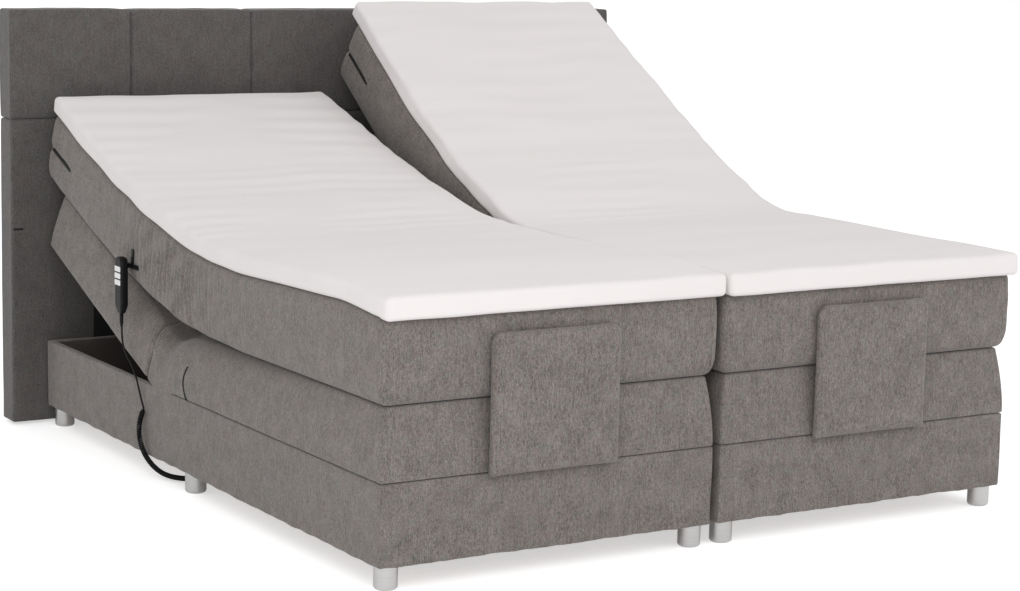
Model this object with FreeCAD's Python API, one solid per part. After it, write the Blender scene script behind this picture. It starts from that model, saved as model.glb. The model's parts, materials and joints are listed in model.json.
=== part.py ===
import FreeCAD, Part
import math
import os
from FreeCAD import Placement, Rotation, Vector

# An electrically adjustable double bed: two equal single units, a headboard and one wired handset.
# Millimetres. X runs across the bed, Y from the foot end to the head end, Z up from the floor.
# The model is drawn with Y = 0 at the foot end of the base boxes and moved to its origin on export.

# ---------------------------------------------------------------- driving dimensions
UNIT_WIDTH = 900.0
UNIT_GAP = 22.0
UNIT_LENGTH = 2000.0
HALF_WIDTH = UNIT_WIDTH / 2
UNIT_CENTRE = (UNIT_WIDTH + UNIT_GAP) / 2

FOOT_HEIGHT = 55.0
FOOT_RADIUS = 27.5
FOOT_INSET = 36.0
FOOT_ROUNDING = 8.0
FOOT_ROWS = (36.0, 1050.0, 1960.0)
BOLT_RADIUS = 4.0

BASE_TOP = 245.0
BOARD = 18.0
FLOOR_BOARD = 12.0

PAD_CLEARANCE = 1.0
PAD_BOTTOM = BASE_TOP + PAD_CLEARANCE
PAD_TOP = 415.0
PAD_RIM = 46.0
DECK_BOTTOM = 254.0
DECK_TOP = 284.0
DECK_SHEET = 3.0
EAR_POCKET_TOP = 345.0

MATTRESS_BOTTOM = PAD_TOP + 1.0
MATTRESS_TOP = 605.0
TOPPER_BOTTOM = MATTRESS_TOP + 1.0
TOPPER_TOP = 668.0
TOPPER_OVERHANG = 30.0
JOINT_SLIT = 4.0

BACK_AXIS_Y = 1241.0
THIGH_AXIS_Y = 1030.0
PIN_Z = 320.0
KNEE_AXIS_Y = 635.0
KNEE_Z = 262.0
MATTRESS_KNEE_Y = 556.0
BEND_START_Y = 852.0

LEFT_BACK_ANGLE = 21.0
RIGHT_BACK_ANGLE = 36.0
LEFT_MATTRESS_REACH = 850.0
RIGHT_MATTRESS_REACH = 1000.0
LEFT_MATTRESS_LIFT = 3.0
RIGHT_MATTRESS_LIFT = 5.2

PIN_RADIUS = 6.0
PIN_RUNNING_FIT = 0.05
HUB_RADIUS = 18.0
PLATE = 6.0
EAR_X = 380.0
PLATE_X = 392.0
RAIL_X = 376.0
RAIL_WIDTH = 20.0
SHAFT_RADIUS = 16.0
ROLLER_GAP = 4.0

HEADBOARD_HALF_WIDTH = 1009.0
HEADBOARD_FRONT = UNIT_LENGTH + 18.0
HEADBOARD_BACK = HEADBOARD_FRONT + 85.0
HEADBOARD_BOTTOM = 20.0
HEADBOARD_SEAM = 882.0
HEADBOARD_TOP = 1190.0
HEADBOARD_PADDING = 32.0
HEADBOARD_EDGE = 24.0
HEADBOARD_CORE = 24.0

STOP_WIDTH = 352.0
STOP_THICKNESS = 18.0
STOP_BOTTOM = 250.0
STOP_TOP = 579.0
STOP_CORNER = 36.0
STOP_GAP = 7.0

HANDSET_X = -938.5
HANDSET_Y = 1386.0
HANDSET_DEPTH = 21.0
HANDSET_WIDTH = 46.0
HANDSET_BOTTOM = 418.0
HANDSET_TOP = 570.0
BUTTON_ROWS = (502.0, 520.0, 538.0)
BUTTON_HEIGHT = 14.0
BUTTON_WIDTH = 16.0
BUTTON_PITCH = 18.5
BUTTON_FIT = 0.4

CORD_RADIUS = 2.5
COIL_RADIUS = 7.5
CORD_ROUTE = (
    (-938, 1386, 384), (-937.5, 1386.5, 359), (-935, 1384, 330), (-931, 1373, 308),
    (-926, 1351, 286), (-922, 1332, 262), (-921, 1316, 234), (-921, 1298, 204), (-922, 1277, 180),
)
COIL_ROUTE = (
    (-922, 1277, 180), (-925, 1297, 148), (-927, 1300, 110), (-926, 1280, 72), (-919, 1246, 42),
    (-905, 1215, 22), (-888, 1189, 13), (-872, 1162, 12), (-860, 1128, 16), (-851, 1096, 22),
)

ORIGIN_Y = (HEADBOARD_BACK - TOPPER_OVERHANG) / 2
MATTRESS_RISE = MATTRESS_BOTTOM - PIN_Z

UNITS = {
    "left": {
        "x": -UNIT_CENTRE, "angle": LEFT_BACK_ANGLE,
        "reach": LEFT_MATTRESS_REACH, "lift": LEFT_MATTRESS_LIFT,
    },
    "right": {
        "x": UNIT_CENTRE, "angle": RIGHT_BACK_ANGLE,
        "reach": RIGHT_MATTRESS_REACH, "lift": RIGHT_MATTRESS_LIFT,
    },
}


# ---------------------------------------------------------------- shape helpers
def box(x0, x1, y0, y1, z0, z1):
    """A block between two corners."""
    return Part.makeBox(x1 - x0, y1 - y0, z1 - z0, Vector(x0, y0, z0))


def rod(x0, x1, y, z, radius):
    """A round bar along X."""
    return Part.makeCylinder(radius, x1 - x0, Vector(x0, y, z), Vector(1, 0, 0))


def post(x, y, z0, z1, radius):
    """A round bar along Z."""
    return Part.makeCylinder(radius, z1 - z0, Vector(x, y, z0), Vector(0, 0, 1))


def profile(points, x0, x1):
    """A side view outline of (y, z) points, extruded from x0 to x1."""
    corners = [Vector(x0, y, z) for y, z in points]
    face = Part.Face(Part.makePolygon(corners + corners[:1]))
    return face.extrude(Vector(x1 - x0, 0, 0))


def one(shapes):
    """Several overlapping shapes as one solid piece."""
    joined = shapes[0].multiFuse(shapes[1:]).removeSplitter()
    return joined.Solids[0] if len(joined.Solids) == 1 else joined


def mirrored(shape):
    """The shape and its mirror image across the unit's middle plane."""
    return [shape, shape.mirror(Vector(0, 0, 0), Vector(1, 0, 0))]


def turned(shape, y, z, degrees):
    """The shape turned about an axis along X. Positive lifts what lies towards the head end."""
    result = shape.copy()
    result.rotate(Vector(0, y, z), Vector(1, 0, 0), degrees)
    return result


def shifted(shape, x):
    """The shape moved along X."""
    result = shape.copy()
    result.translate(Vector(x, 0, 0))
    return result


def save(name, solids):
    """Writes one node, moved so that the bed's origin is the middle of its footprint."""
    group = solids[0] if len(solids) == 1 else Part.makeCompound(solids)
    placed = group.copy()
    placed.Placement = Placement(Vector(0, -ORIGIN_Y, 0), Rotation()).multiply(placed.Placement)
    if not placed.isValid():
        raise ValueError(f"{name} is not a valid solid")
    placed.exportStep(f"parts/{name}.step")


# ---------------------------------------------------------------- base boxes
def base_sides(x):
    """The two long boards of one base box."""
    board = box(HALF_WIDTH - BOARD, HALF_WIDTH, 0, UNIT_LENGTH, FOOT_HEIGHT, BASE_TOP)
    return [shifted(solid, x) for solid in mirrored(board)]


def base_ends(x):
    """The two short boards between the long ones."""
    inner = HALF_WIDTH - BOARD
    foot_end = box(x - inner, x + inner, 0, BOARD, FOOT_HEIGHT, BASE_TOP)
    head_end = box(x - inner, x + inner, UNIT_LENGTH - BOARD, UNIT_LENGTH, FOOT_HEIGHT, BASE_TOP)
    return [foot_end, head_end]


def foot_places(x):
    """The (x, y) centres of one unit's six feet."""
    offset = HALF_WIDTH - FOOT_INSET
    return [(x + side * offset, y) for side in (-1, 1) for y in FOOT_ROWS]


def base_floor(x):
    """The board that closes the base box below, bored for the foot bolts."""
    inner = HALF_WIDTH - BOARD
    board = box(x - inner, x + inner, BOARD, UNIT_LENGTH - BOARD, FOOT_HEIGHT, FOOT_HEIGHT + FLOOR_BOARD)
    for px, py in foot_places(x):
        board = board.cut(post(px, py, FOOT_HEIGHT - 1, FOOT_HEIGHT + FLOOR_BOARD + 1, BOLT_RADIUS))
    return board.removeSplitter()


def foot(px, py):
    """A round metal foot with a blind hole for its bolt and a rounded lower edge."""
    body = post(px, py, 0, FOOT_HEIGHT, FOOT_RADIUS)
    lower_edge = [edge for edge in body.Edges if edge.BoundBox.ZMax < 1 and edge.Length > FOOT_RADIUS * 4]
    rounded = body.makeFillet(FOOT_ROUNDING, lower_edge)
    return rounded.cut(post(px, py, FOOT_HEIGHT - 30, FOOT_HEIGHT + 1, BOLT_RADIUS)).Solids[0]


def foot_bolt(px, py):
    """The stud of one foot with the nut that holds it on the base's floor."""
    floor_top = FOOT_HEIGHT + FLOOR_BOARD
    stud = post(px, py, FOOT_HEIGHT - 30, floor_top + 12, BOLT_RADIUS)
    return one([stud, post(px, py, floor_top, floor_top + 7, BOLT_RADIUS * 1.8)])


# ---------------------------------------------------------------- seat and hinges
def hub(y, z, x0, x1):
    """The round eye of a hinge plate."""
    return rod(x0, x1, y, z, HUB_RADIUS)


def seat_frame():
    """Two hinge plates on cross tubes that span the base box; it carries both hinge lines."""
    inner = HALF_WIDTH - BOARD
    tube_bottom, tube_top = 195.0, 225.0
    outline = (
        (THIGH_AXIS_Y - HUB_RADIUS, PIN_Z), (THIGH_AXIS_Y + 40, tube_bottom),
        (BACK_AXIS_Y - 75, tube_bottom), (BACK_AXIS_Y + HUB_RADIUS, PIN_Z),
    )
    plate = profile(outline, PLATE_X, PLATE_X + PLATE)
    eyes = [hub(y, PIN_Z, PLATE_X, PLATE_X + PLATE) for y in (THIGH_AXIS_Y, BACK_AXIS_Y)]
    bored = one([plate, *eyes])
    for y in (THIGH_AXIS_Y, BACK_AXIS_Y):
        bored = bored.cut(rod(PLATE_X - 1, PLATE_X + PLATE + 1, y, PIN_Z, PIN_RADIUS))
    parts = mirrored(bored)
    for y0 in (THIGH_AXIS_Y + 63, BACK_AXIS_Y - 115):
        parts.append(box(-inner, inner, y0, y0 + 20, tube_bottom, tube_top))
    flange = box(inner - 4, inner, THIGH_AXIS_Y + 45, BACK_AXIS_Y - 77, tube_bottom - 30, tube_top + 15)
    parts.extend(mirrored(flange))
    return one(parts)


def hinge_pins(x):
    """The four pins of one unit's back and thigh hinges, held in the seat frame's plates."""
    pins = []
    for y in (THIGH_AXIS_Y, BACK_AXIS_Y):
        pin = rod(EAR_X - 5, PLATE_X + PLATE + 5, y, PIN_Z, PIN_RADIUS)
        pins.extend(shifted(solid, x) for solid in mirrored(pin))
    return pins


def seat_pad():
    """The fixed padded block between the thigh and back hinges, hollow below for the mechanism."""
    half_thigh, half_back = math.radians(17), math.radians(35)
    above = PAD_TOP - PIN_Z
    outline = (
        (THIGH_AXIS_Y + 6, BASE_TOP), (BACK_AXIS_Y + 6, BASE_TOP), (BACK_AXIS_Y + 6, PIN_Z),
        (BACK_AXIS_Y + 6 - above * math.tan(half_back), PAD_TOP),
        (THIGH_AXIS_Y + 6 + above * math.tan(half_thigh), PAD_TOP), (THIGH_AXIS_Y + 6, PIN_Z),
    )
    block = profile(outline, -HALF_WIDTH, HALF_WIDTH)
    hollow = HALF_WIDTH - PAD_RIM
    return block.cut(box(-hollow, hollow, 0, UNIT_LENGTH, BASE_TOP - 1, EAR_POCKET_TOP))


# ---------------------------------------------------------------- moving sections
def section_pad(outline, pocket_y0, pocket_y1, deep_y0, deep_y1):
    """A padded section: a block with a pocket below for its deck and a deeper one for hinge ears."""
    hollow = HALF_WIDTH - PAD_RIM
    block = profile(outline, -HALF_WIDTH, HALF_WIDTH)
    block = block.cut(box(-hollow, hollow, pocket_y0, pocket_y1, PAD_BOTTOM - 1, DECK_TOP))
    if deep_y1 > deep_y0:
        block = block.cut(box(-hollow, hollow, deep_y0, deep_y1, PAD_BOTTOM - 1, EAR_POCKET_TOP))
    return block.removeSplitter()


def back_pad():
    """The padded back section, mitred above its hinge so that it can rise to sixty degrees."""
    start = BACK_AXIS_Y + 21
    above = PAD_TOP - PIN_Z
    outline = (
        (start, PAD_BOTTOM), (UNIT_LENGTH, PAD_BOTTOM), (UNIT_LENGTH, PAD_TOP),
        (start + above * math.tan(math.radians(28)), PAD_TOP), (start, PIN_Z),
    )
    return section_pad(outline, start - 1, UNIT_LENGTH - PAD_RIM, start - 1, BACK_AXIS_Y + 90)


def thigh_pad():
    """The padded thigh section, mitred above its hinge."""
    start = THIGH_AXIS_Y - 6
    above = PAD_TOP - PIN_Z
    knee = KNEE_AXIS_Y + 10
    outline = (
        (knee, PAD_BOTTOM), (start, PAD_BOTTOM), (start, PIN_Z),
        (start - above * math.tan(math.radians(17)), PAD_TOP), (knee, PAD_TOP),
    )
    return section_pad(outline, knee - 1, start + 1, start - 80, start + 1)


def calf_pad():
    """The padded calf section, from the knee to the foot end."""
    knee = KNEE_AXIS_Y - 10
    outline = ((0, PAD_BOTTOM), (knee, PAD_BOTTOM), (knee, PAD_TOP), (0, PAD_TOP))
    return section_pad(outline, PAD_RIM, knee + 1, 0, 0)


def rails(y0, y1):
    """The two side rails of a deck."""
    return mirrored(box(RAIL_X, RAIL_X + RAIL_WIDTH, y0, y1, DECK_BOTTOM, DECK_TOP))


def deck_sheet(y0, y1):
    """The pressed sheet that closes a deck between its rails."""
    return box(-RAIL_X - 2, RAIL_X + 2, y0, y1, DECK_TOP - DECK_SHEET, DECK_TOP)


def ear(axis_y, axis_z, near_y, far_y, x0):
    """A hinge plate from its hinge axis to a rail; near_y is the end of the overlap nearer the axis."""
    outline = (
        (axis_y, axis_z + HUB_RADIUS), (axis_y, axis_z - HUB_RADIUS),
        (near_y, DECK_BOTTOM), (far_y, DECK_BOTTOM), (far_y, DECK_TOP), (near_y, DECK_TOP),
    )
    eye = hub(axis_y, axis_z, x0, x0 + PLATE)
    return one([profile(outline, x0, x0 + PLATE), eye])


def bored(shape, y, z):
    """The shape with a running bore for a hinge pin."""
    radius = PIN_RADIUS + PIN_RUNNING_FIT
    return shape.cut(rod(-HALF_WIDTH, HALF_WIDTH, y, z, radius))


def lever(axis_y, degrees):
    """A lever on the lift shaft, hanging down and tilted from the vertical."""
    length = 110.0
    arm = box(-10, 10, axis_y - 12, axis_y + 12, PIN_Z - length, PIN_Z)
    roller = rod(-14, 14, axis_y, PIN_Z - length, 14)
    return turned(one([arm, roller]), axis_y, PIN_Z, degrees)


def lift_shaft(axis_y, degrees):
    """The tube on a hinge axis that the drive turns by its lever."""
    tube = rod(-EAR_X - 1, EAR_X + 1, axis_y, PIN_Z, SHAFT_RADIUS)
    return [tube, lever(axis_y, degrees)]


def pin_room(axis_y):
    """The bores in both ends of a lift shaft that clear the hinge pins."""
    return mirrored(rod(EAR_X - 8, EAR_X + 8, axis_y, PIN_Z, PIN_RADIUS + PIN_RUNNING_FIT))


def back_frame():
    """The deck of the back section: rails, sheet, hinge ears and the lift shaft with its lever."""
    start = BACK_AXIS_Y + 70
    end = UNIT_LENGTH - PAD_RIM - 4
    ears = mirrored(ear(BACK_AXIS_Y, PIN_Z, start - 20, start + 30, EAR_X))
    parts = rails(start, end) + [deck_sheet(start, end)] + ears + lift_shaft(BACK_AXIS_Y, -30)
    frame = one(parts)
    for room in pin_room(BACK_AXIS_Y):
        frame = frame.cut(room)
    return frame


def thigh_frame():
    """The deck of the thigh section, with a lift shaft at the seat and pins at the knee."""
    start = KNEE_AXIS_Y + 40
    end = THIGH_AXIS_Y - 60
    seat_ears = mirrored(ear(THIGH_AXIS_Y, PIN_Z, end + 20, end - 30, EAR_X))
    knee_ears = mirrored(ear(KNEE_AXIS_Y, KNEE_Z, start, start + 30, EAR_X))
    knee_pins = mirrored(rod(EAR_X, PLATE_X + PLATE + 3, KNEE_AXIS_Y, KNEE_Z, PIN_RADIUS))
    shaft = lift_shaft(THIGH_AXIS_Y, 16)
    parts = rails(start, end) + [deck_sheet(start, end)] + seat_ears + knee_ears + knee_pins + shaft
    frame = one(parts)
    for room in pin_room(THIGH_AXIS_Y):
        frame = frame.cut(room)
    return frame


def calf_frame():
    """The deck of the calf section, with the bracket that carries the mattress stop."""
    start, end = PAD_RIM + 4, KNEE_AXIS_Y - 60
    ears = mirrored(ear(KNEE_AXIS_Y, KNEE_Z, end, end - 30, PLATE_X))
    ears = [bored(plate, KNEE_AXIS_Y, KNEE_Z) for plate in ears]
    spacers = mirrored(box(RAIL_X, PLATE_X + PLATE, end - 30, end, DECK_BOTTOM, DECK_TOP))
    arms = mirrored(box(90, 130, -STOP_GAP, start + 30, PAD_BOTTOM, PAD_BOTTOM + 4))
    risers = mirrored(box(90, 130, start + 10, start + 30, PAD_BOTTOM, DECK_TOP))
    lips = mirrored(box(90, 130, -STOP_GAP, -STOP_GAP + 4, PAD_BOTTOM, PAD_BOTTOM + 90))
    return one(rails(start, end) + [deck_sheet(start, end)] + ears + spacers + arms + risers + lips)


def calf_pad_with_notch():
    """The calf pad with two shallow slots in its rim for the stop's arms."""
    pad = calf_pad()
    for slot in mirrored(box(88, 132, -1, PAD_RIM + 1, PAD_BOTTOM - 1, PAD_BOTTOM + 6)):
        pad = pad.cut(slot)
    return pad


def mattress_stop():
    """The upright padded panel at the foot end that keeps the mattress in place."""
    back = -STOP_GAP
    half = STOP_WIDTH / 2
    panel = box(-half, half, back - STOP_THICKNESS, back, STOP_BOTTOM, STOP_TOP)
    corners = [
        edge for edge in panel.Edges
        if abs(edge.BoundBox.YLength - STOP_THICKNESS) < 0.1 and edge.BoundBox.ZMin > STOP_BOTTOM + 1
    ]
    return panel.makeFillet(STOP_CORNER, corners).Solids[0]


# ---------------------------------------------------------------- drive
def drive_housing():
    """The twin motor drive: a motor case below a guide channel that hangs from the seat frame."""
    channel = box(-40, 40, 880, 1420, 120, 150)
    motor_case = box(-62, 62, 1000, 1240, 70, 121)
    hangers = mirrored(box(52, 60, THIGH_AXIS_Y + 63, BACK_AXIS_Y - 95, 120, 195))
    return one([channel, motor_case, *hangers])


def slider(saddle_y0, saddle_y1, face_y0, face_y1):
    """A push block that straddles the drive's channel, with an upright face for the lever's roller."""
    saddle = box(-46, 46, saddle_y0, saddle_y1, 151, 165)
    skirts = mirrored(box(41, 46, saddle_y0, saddle_y1, 124, 165))
    face = box(-20, 20, face_y0, face_y1, 160, 220)
    return one([saddle, *skirts, face])


def back_slider(angle):
    """The block that pushes the back section's lever towards the head end."""
    reach = lever_reach(-30, angle)
    contact = BACK_AXIS_Y + reach - 14 - ROLLER_GAP
    return slider(contact - 12, contact + 60, contact - 12, contact)


def leg_slider():
    """The block that pushes the thigh section's lever towards the foot end."""
    contact = THIGH_AXIS_Y + lever_reach(16, 0) + 14 + ROLLER_GAP
    return slider(contact - 60, contact + 12, contact, contact + 12)


def lever_reach(start, turn):
    """How far towards the head end a lever's roller lies from its axis."""
    return 110.0 * math.sin(math.radians(start + turn))


def control_box(x):
    """The control unit on the floor of one base box."""
    return box(x - 90, x + 90, 500, 640, FOOT_HEIGHT + FLOOR_BOARD, FOOT_HEIGHT + FLOOR_BOARD + 45)


# ---------------------------------------------------------------- mattress and topper
def layer(y0, y1, z0, z1, inset=0.0):
    """A flat stretch of mattress or topper."""
    return box(-HALF_WIDTH + inset, HALF_WIDTH - inset, y0, y1, z0, z1)


def bend_radius(angle):
    """The radius of the mattress's underside between the seat and a raised back."""
    return (BACK_AXIS_Y - BEND_START_Y) / math.tan(math.radians(angle / 2)) - MATTRESS_RISE


def curved_layer(angle, z0, z1):
    """The stretch of a layer that bends from the seat up to the raised back."""
    centre_z = MATTRESS_BOTTOM + bend_radius(angle)
    turn = math.radians(angle)

    def point(radius, share):
        return Vector(
            -HALF_WIDTH,
            BEND_START_Y + radius * math.sin(turn * share),
            centre_z - radius * math.cos(turn * share),
        )

    outer, inner = centre_z - z0, centre_z - z1
    low = Part.Arc(point(outer, 0), point(outer, 0.5), point(outer, 1)).toShape()
    high = Part.Arc(point(inner, 1), point(inner, 0.5), point(inner, 0)).toShape()
    head_end = Part.makeLine(point(outer, 1), point(inner, 1))
    foot_end = Part.makeLine(point(inner, 0), point(outer, 0))
    face = Part.Face(Part.Wire([low, head_end, high, foot_end]))
    return face.extrude(Vector(UNIT_WIDTH, 0, 0))


def head_layer(unit, z0, z1):
    """The straight stretch of a layer on the back section, drawn flat and lifted clear of the pad."""
    bend_end = BACK_AXIS_Y + (BACK_AXIS_Y - BEND_START_Y) + JOINT_SLIT
    lift = unit["lift"]
    return layer(bend_end, BACK_AXIS_Y + unit["reach"], z0 + lift, z1 + lift)


def soft_layers(name, unit):
    """Every mattress and topper piece of one unit, at the unit's place."""
    angle = unit["angle"]
    return {
        f"{name}_mattress_calf": layer(0, MATTRESS_KNEE_Y, MATTRESS_BOTTOM, MATTRESS_TOP),
        f"{name}_mattress_thigh": layer(
            MATTRESS_KNEE_Y + JOINT_SLIT, BEND_START_Y - JOINT_SLIT, MATTRESS_BOTTOM, MATTRESS_TOP
        ),
        f"{name}_mattress_middle": curved_layer(angle, MATTRESS_BOTTOM, MATTRESS_TOP),
        f"{name}_mattress_head": raised(head_layer(unit, MATTRESS_BOTTOM, MATTRESS_TOP), angle),
        f"{name}_topper_foot": layer(-TOPPER_OVERHANG, MATTRESS_KNEE_Y, TOPPER_BOTTOM, TOPPER_TOP),
        f"{name}_topper_middle": one([
            layer(MATTRESS_KNEE_Y + JOINT_SLIT, BEND_START_Y, TOPPER_BOTTOM, TOPPER_TOP),
            curved_layer(angle, TOPPER_BOTTOM, TOPPER_TOP),
        ]),
        f"{name}_topper_head": raised(head_layer(unit, TOPPER_BOTTOM, TOPPER_TOP), angle),
    }


def raised(shape, angle):
    """A back section piece turned up from flat to its rest angle."""
    return turned(shape, BACK_AXIS_Y, PIN_Z, angle)


# ---------------------------------------------------------------- headboard
def headboard_core():
    """The board inside the headboard."""
    inset = HEADBOARD_EDGE
    front = HEADBOARD_FRONT + HEADBOARD_PADDING
    return box(
        -HEADBOARD_HALF_WIDTH + inset, HEADBOARD_HALF_WIDTH - inset,
        front, front + HEADBOARD_CORE, HEADBOARD_BOTTOM + inset, HEADBOARD_TOP - inset,
    )


def headboard_pad(z0, z1):
    """One upholstered part of the headboard, wrapped round the core."""
    outer = box(
        -HEADBOARD_HALF_WIDTH, HEADBOARD_HALF_WIDTH, HEADBOARD_FRONT, HEADBOARD_BACK, z0, z1
    )
    return outer.cut(headboard_core())


def headboard_brackets():
    """Four black plates on the headboard's front, each with a spacer that meets the base box."""
    plates = []
    for unit in UNITS.values():
        for offset in (-261, 261):
            x = unit["x"] + offset
            plate = box(x - 42, x + 42, HEADBOARD_FRONT - 5, HEADBOARD_FRONT, 110, 350)
            spacer = box(x - 30, x + 30, UNIT_LENGTH, HEADBOARD_FRONT - 4, 110, 220)
            plates.append(one([plate, spacer]))
    return plates


# ---------------------------------------------------------------- handset and cord
def handset_body():
    """The handset's full outer shape: rounded on top and tapered towards its cord."""
    half_y, half_x = HANDSET_WIDTH / 2, HANDSET_DEPTH / 2
    taper, neck = 22.0, 6.5
    shoulder = HANDSET_BOTTOM + taper
    crown = HANDSET_TOP - half_y
    x0 = HANDSET_X - half_x
    points = [
        Vector(x0, HANDSET_Y - neck, HANDSET_BOTTOM), Vector(x0, HANDSET_Y + neck, HANDSET_BOTTOM),
        Vector(x0, HANDSET_Y + half_y, shoulder), Vector(x0, HANDSET_Y + half_y, crown),
        Vector(x0, HANDSET_Y, HANDSET_TOP), Vector(x0, HANDSET_Y - half_y, crown),
        Vector(x0, HANDSET_Y - half_y, shoulder),
    ]
    edges = [Part.makeLine(points[i], points[i + 1]) for i in range(3)]
    edges.append(Part.Arc(points[3], points[4], points[5]).toShape())
    edges.append(Part.makeLine(points[5], points[6]))
    edges.append(Part.makeLine(points[6], points[0]))
    return Part.Face(Part.Wire(edges)).extrude(Vector(HANDSET_DEPTH, 0, 0))


def half_shell(x0, x1, wall):
    """The part of the handset between two planes, hollowed on its inner side."""
    body = handset_body()
    width = HANDSET_WIDTH + 10
    cut_y0, cut_y1 = HANDSET_Y - width, HANDSET_Y + width
    piece = body.common(box(x0, x1, cut_y0, cut_y1, HANDSET_BOTTOM - 1, HANDSET_TOP + 1))
    inner_x0 = x0 + wall if x0 < HANDSET_X - 1 else x0 - 1
    inner_x1 = x1 + 1 if x0 < HANDSET_X - 1 else x1 - wall
    room_y = HANDSET_WIDTH / 2 - wall
    room = box(
        inner_x0, inner_x1, HANDSET_Y - room_y, HANDSET_Y + room_y,
        HANDSET_BOTTOM + 26, HANDSET_TOP - 20,
    )
    return piece.cut(room)


def button_places():
    """The (y, z) centres of the six buttons: three rows of two."""
    return [(HANDSET_Y + side * BUTTON_PITCH / 2, z) for z in BUTTON_ROWS for side in (-1, 1)]


def handset_front():
    """The outward shell, with an opening for each button."""
    x0 = HANDSET_X - HANDSET_DEPTH / 2
    shell = half_shell(x0, HANDSET_X, 2.5)
    for y, z in button_places():
        half_y = BUTTON_WIDTH / 2 + BUTTON_FIT
        half_z = BUTTON_HEIGHT / 2 + BUTTON_FIT
        shell = shell.cut(box(x0 - 1, x0 + 3, y - half_y, y + half_y, z - half_z, z + half_z))
    return shell.Solids[0]


def handset_back():
    """The shell towards the bed."""
    return half_shell(HANDSET_X, HANDSET_X + HANDSET_DEPTH / 2, 2.5).Solids[0]


def handset_button(y, z):
    """A push button that stands a little proud of the front shell."""
    x0 = HANDSET_X - HANDSET_DEPTH / 2
    half_y, half_z = BUTTON_WIDTH / 2, BUTTON_HEIGHT / 2
    cap = box(x0 - 1.5, x0 + 5, y - half_y, y + half_y, z - half_z, z + half_z)
    return cap.makeFillet(1.2, [e for e in cap.Edges if abs(e.BoundBox.XLength - 6.5) < 0.1])


def handset_hook():
    """The hook that hangs the handset on the side of the mattress."""
    x0 = HANDSET_X + HANDSET_DEPTH / 2
    x1 = -UNIT_CENTRE - HALF_WIDTH - 5
    stem = box(x0, x1, HANDSET_Y - 8, HANDSET_Y + 8, 540, 552)
    blade = box(x1 - 2.5, x1, HANDSET_Y - 62, HANDSET_Y + 8, 540, 552)
    prong = box(x1 - 2.5, x1, HANDSET_Y - 30, HANDSET_Y - 18, 540, 592)
    return one([stem, blade, prong])


def strain_relief():
    """The ribbed sleeve where the cord leaves the handset."""
    x, y, top = HANDSET_X, HANDSET_Y, HANDSET_BOTTOM
    bottom = CORD_ROUTE[0][2]
    sleeve = Part.makeCone(CORD_RADIUS + 1.0, 5.5, top - bottom, Vector(x, y, bottom))
    ribs = [post(x, y, bottom + step, bottom + step + 2.5, 5.5) for step in (10, 17, 24)]
    return one([sleeve, *ribs])


def cord_gland():
    """The gland under the base box that the curly cord goes into."""
    end, before = Vector(*COIL_ROUTE[-1]), Vector(*COIL_ROUTE[-2])
    direction = (end - before).normalize()
    sleeve = Part.makeCylinder(9, 26, end, direction)
    middle = end + direction * 15
    block = box(middle.x - 9, middle.x + 9, middle.y - 9, middle.y + 9, middle.z, FOOT_HEIGHT)
    return one([sleeve, block])


def tangent_arcs(name, route):
    """Straight runs joined by tangent arcs, as one wire through a route of points."""
    points = [Vector(*p) for p in route]
    edges, radii, here = [], [], points[0]
    for before, corner, after in zip(points, points[1:], points[2:]):
        come, leave = (corner - before), (after - corner)
        half_turn = come.getAngle(leave) / 2
        setback = 0.45 * min(come.Length, leave.Length)
        radii.append(setback / math.tan(half_turn))
        start = corner - come.normalize() * setback
        finish = corner + leave.normalize() * setback
        middle = corner + (start + finish - corner * 2).normalize() * (
            radii[-1] / math.cos(half_turn) - radii[-1]
        )
        edges.append(Part.LineSegment(here, start).toShape())
        edges.append(Part.Arc(start, middle, finish).toShape())
        here = finish
    edges.append(Part.LineSegment(here, points[-1]).toShape())
    print(f"{name} radii in mm:", ", ".join(f"{radius:.0f}" for radius in radii))
    return Part.Wire(edges)


def tube(name, route, radius):
    """A round tube along a route, its volume compared with its section times its length."""
    path = tangent_arcs(name, route)
    start, towards = Vector(*route[0]), Vector(*route[1]) - Vector(*route[0])
    ring = Part.Wire([Part.makeCircle(radius, start, towards)])
    solid = path.makePipeShell([ring], True, False)
    expected = math.pi * radius**2 * path.Length
    print(f"{name} length {path.Length:.0f} mm, volume ratio {solid.Volume / expected:.4f}")
    return solid


# ---------------------------------------------------------------- the bed
def save_shared():
    """Writes the nodes that stand still: base boxes, feet, frames, drives and the headboard."""
    centres = [unit["x"] for unit in UNITS.values()]
    save("base_sides", [board for x in centres for board in base_sides(x)])
    save("base_ends", [board for x in centres for board in base_ends(x)])
    save("base_floors", [base_floor(x) for x in centres])
    save("feet", [foot(*place) for x in centres for place in foot_places(x)])
    save("foot_bolts", [foot_bolt(*place) for x in centres for place in foot_places(x)])
    save("seat_frames", [shifted(seat_frame(), x) for x in centres])
    save("hinge_pins", [pin for x in centres for pin in hinge_pins(x)])
    save("drive_housings", [shifted(drive_housing(), x) for x in centres])
    save("control_boxes", [control_box(x) for x in centres])
    save("headboard_core", [headboard_core()])
    save("headboard_lower_pad", [headboard_pad(HEADBOARD_BOTTOM, HEADBOARD_SEAM - 1)])
    save("headboard_upper_pad", [headboard_pad(HEADBOARD_SEAM, HEADBOARD_TOP)])
    save("headboard_brackets", headboard_brackets())


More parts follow.
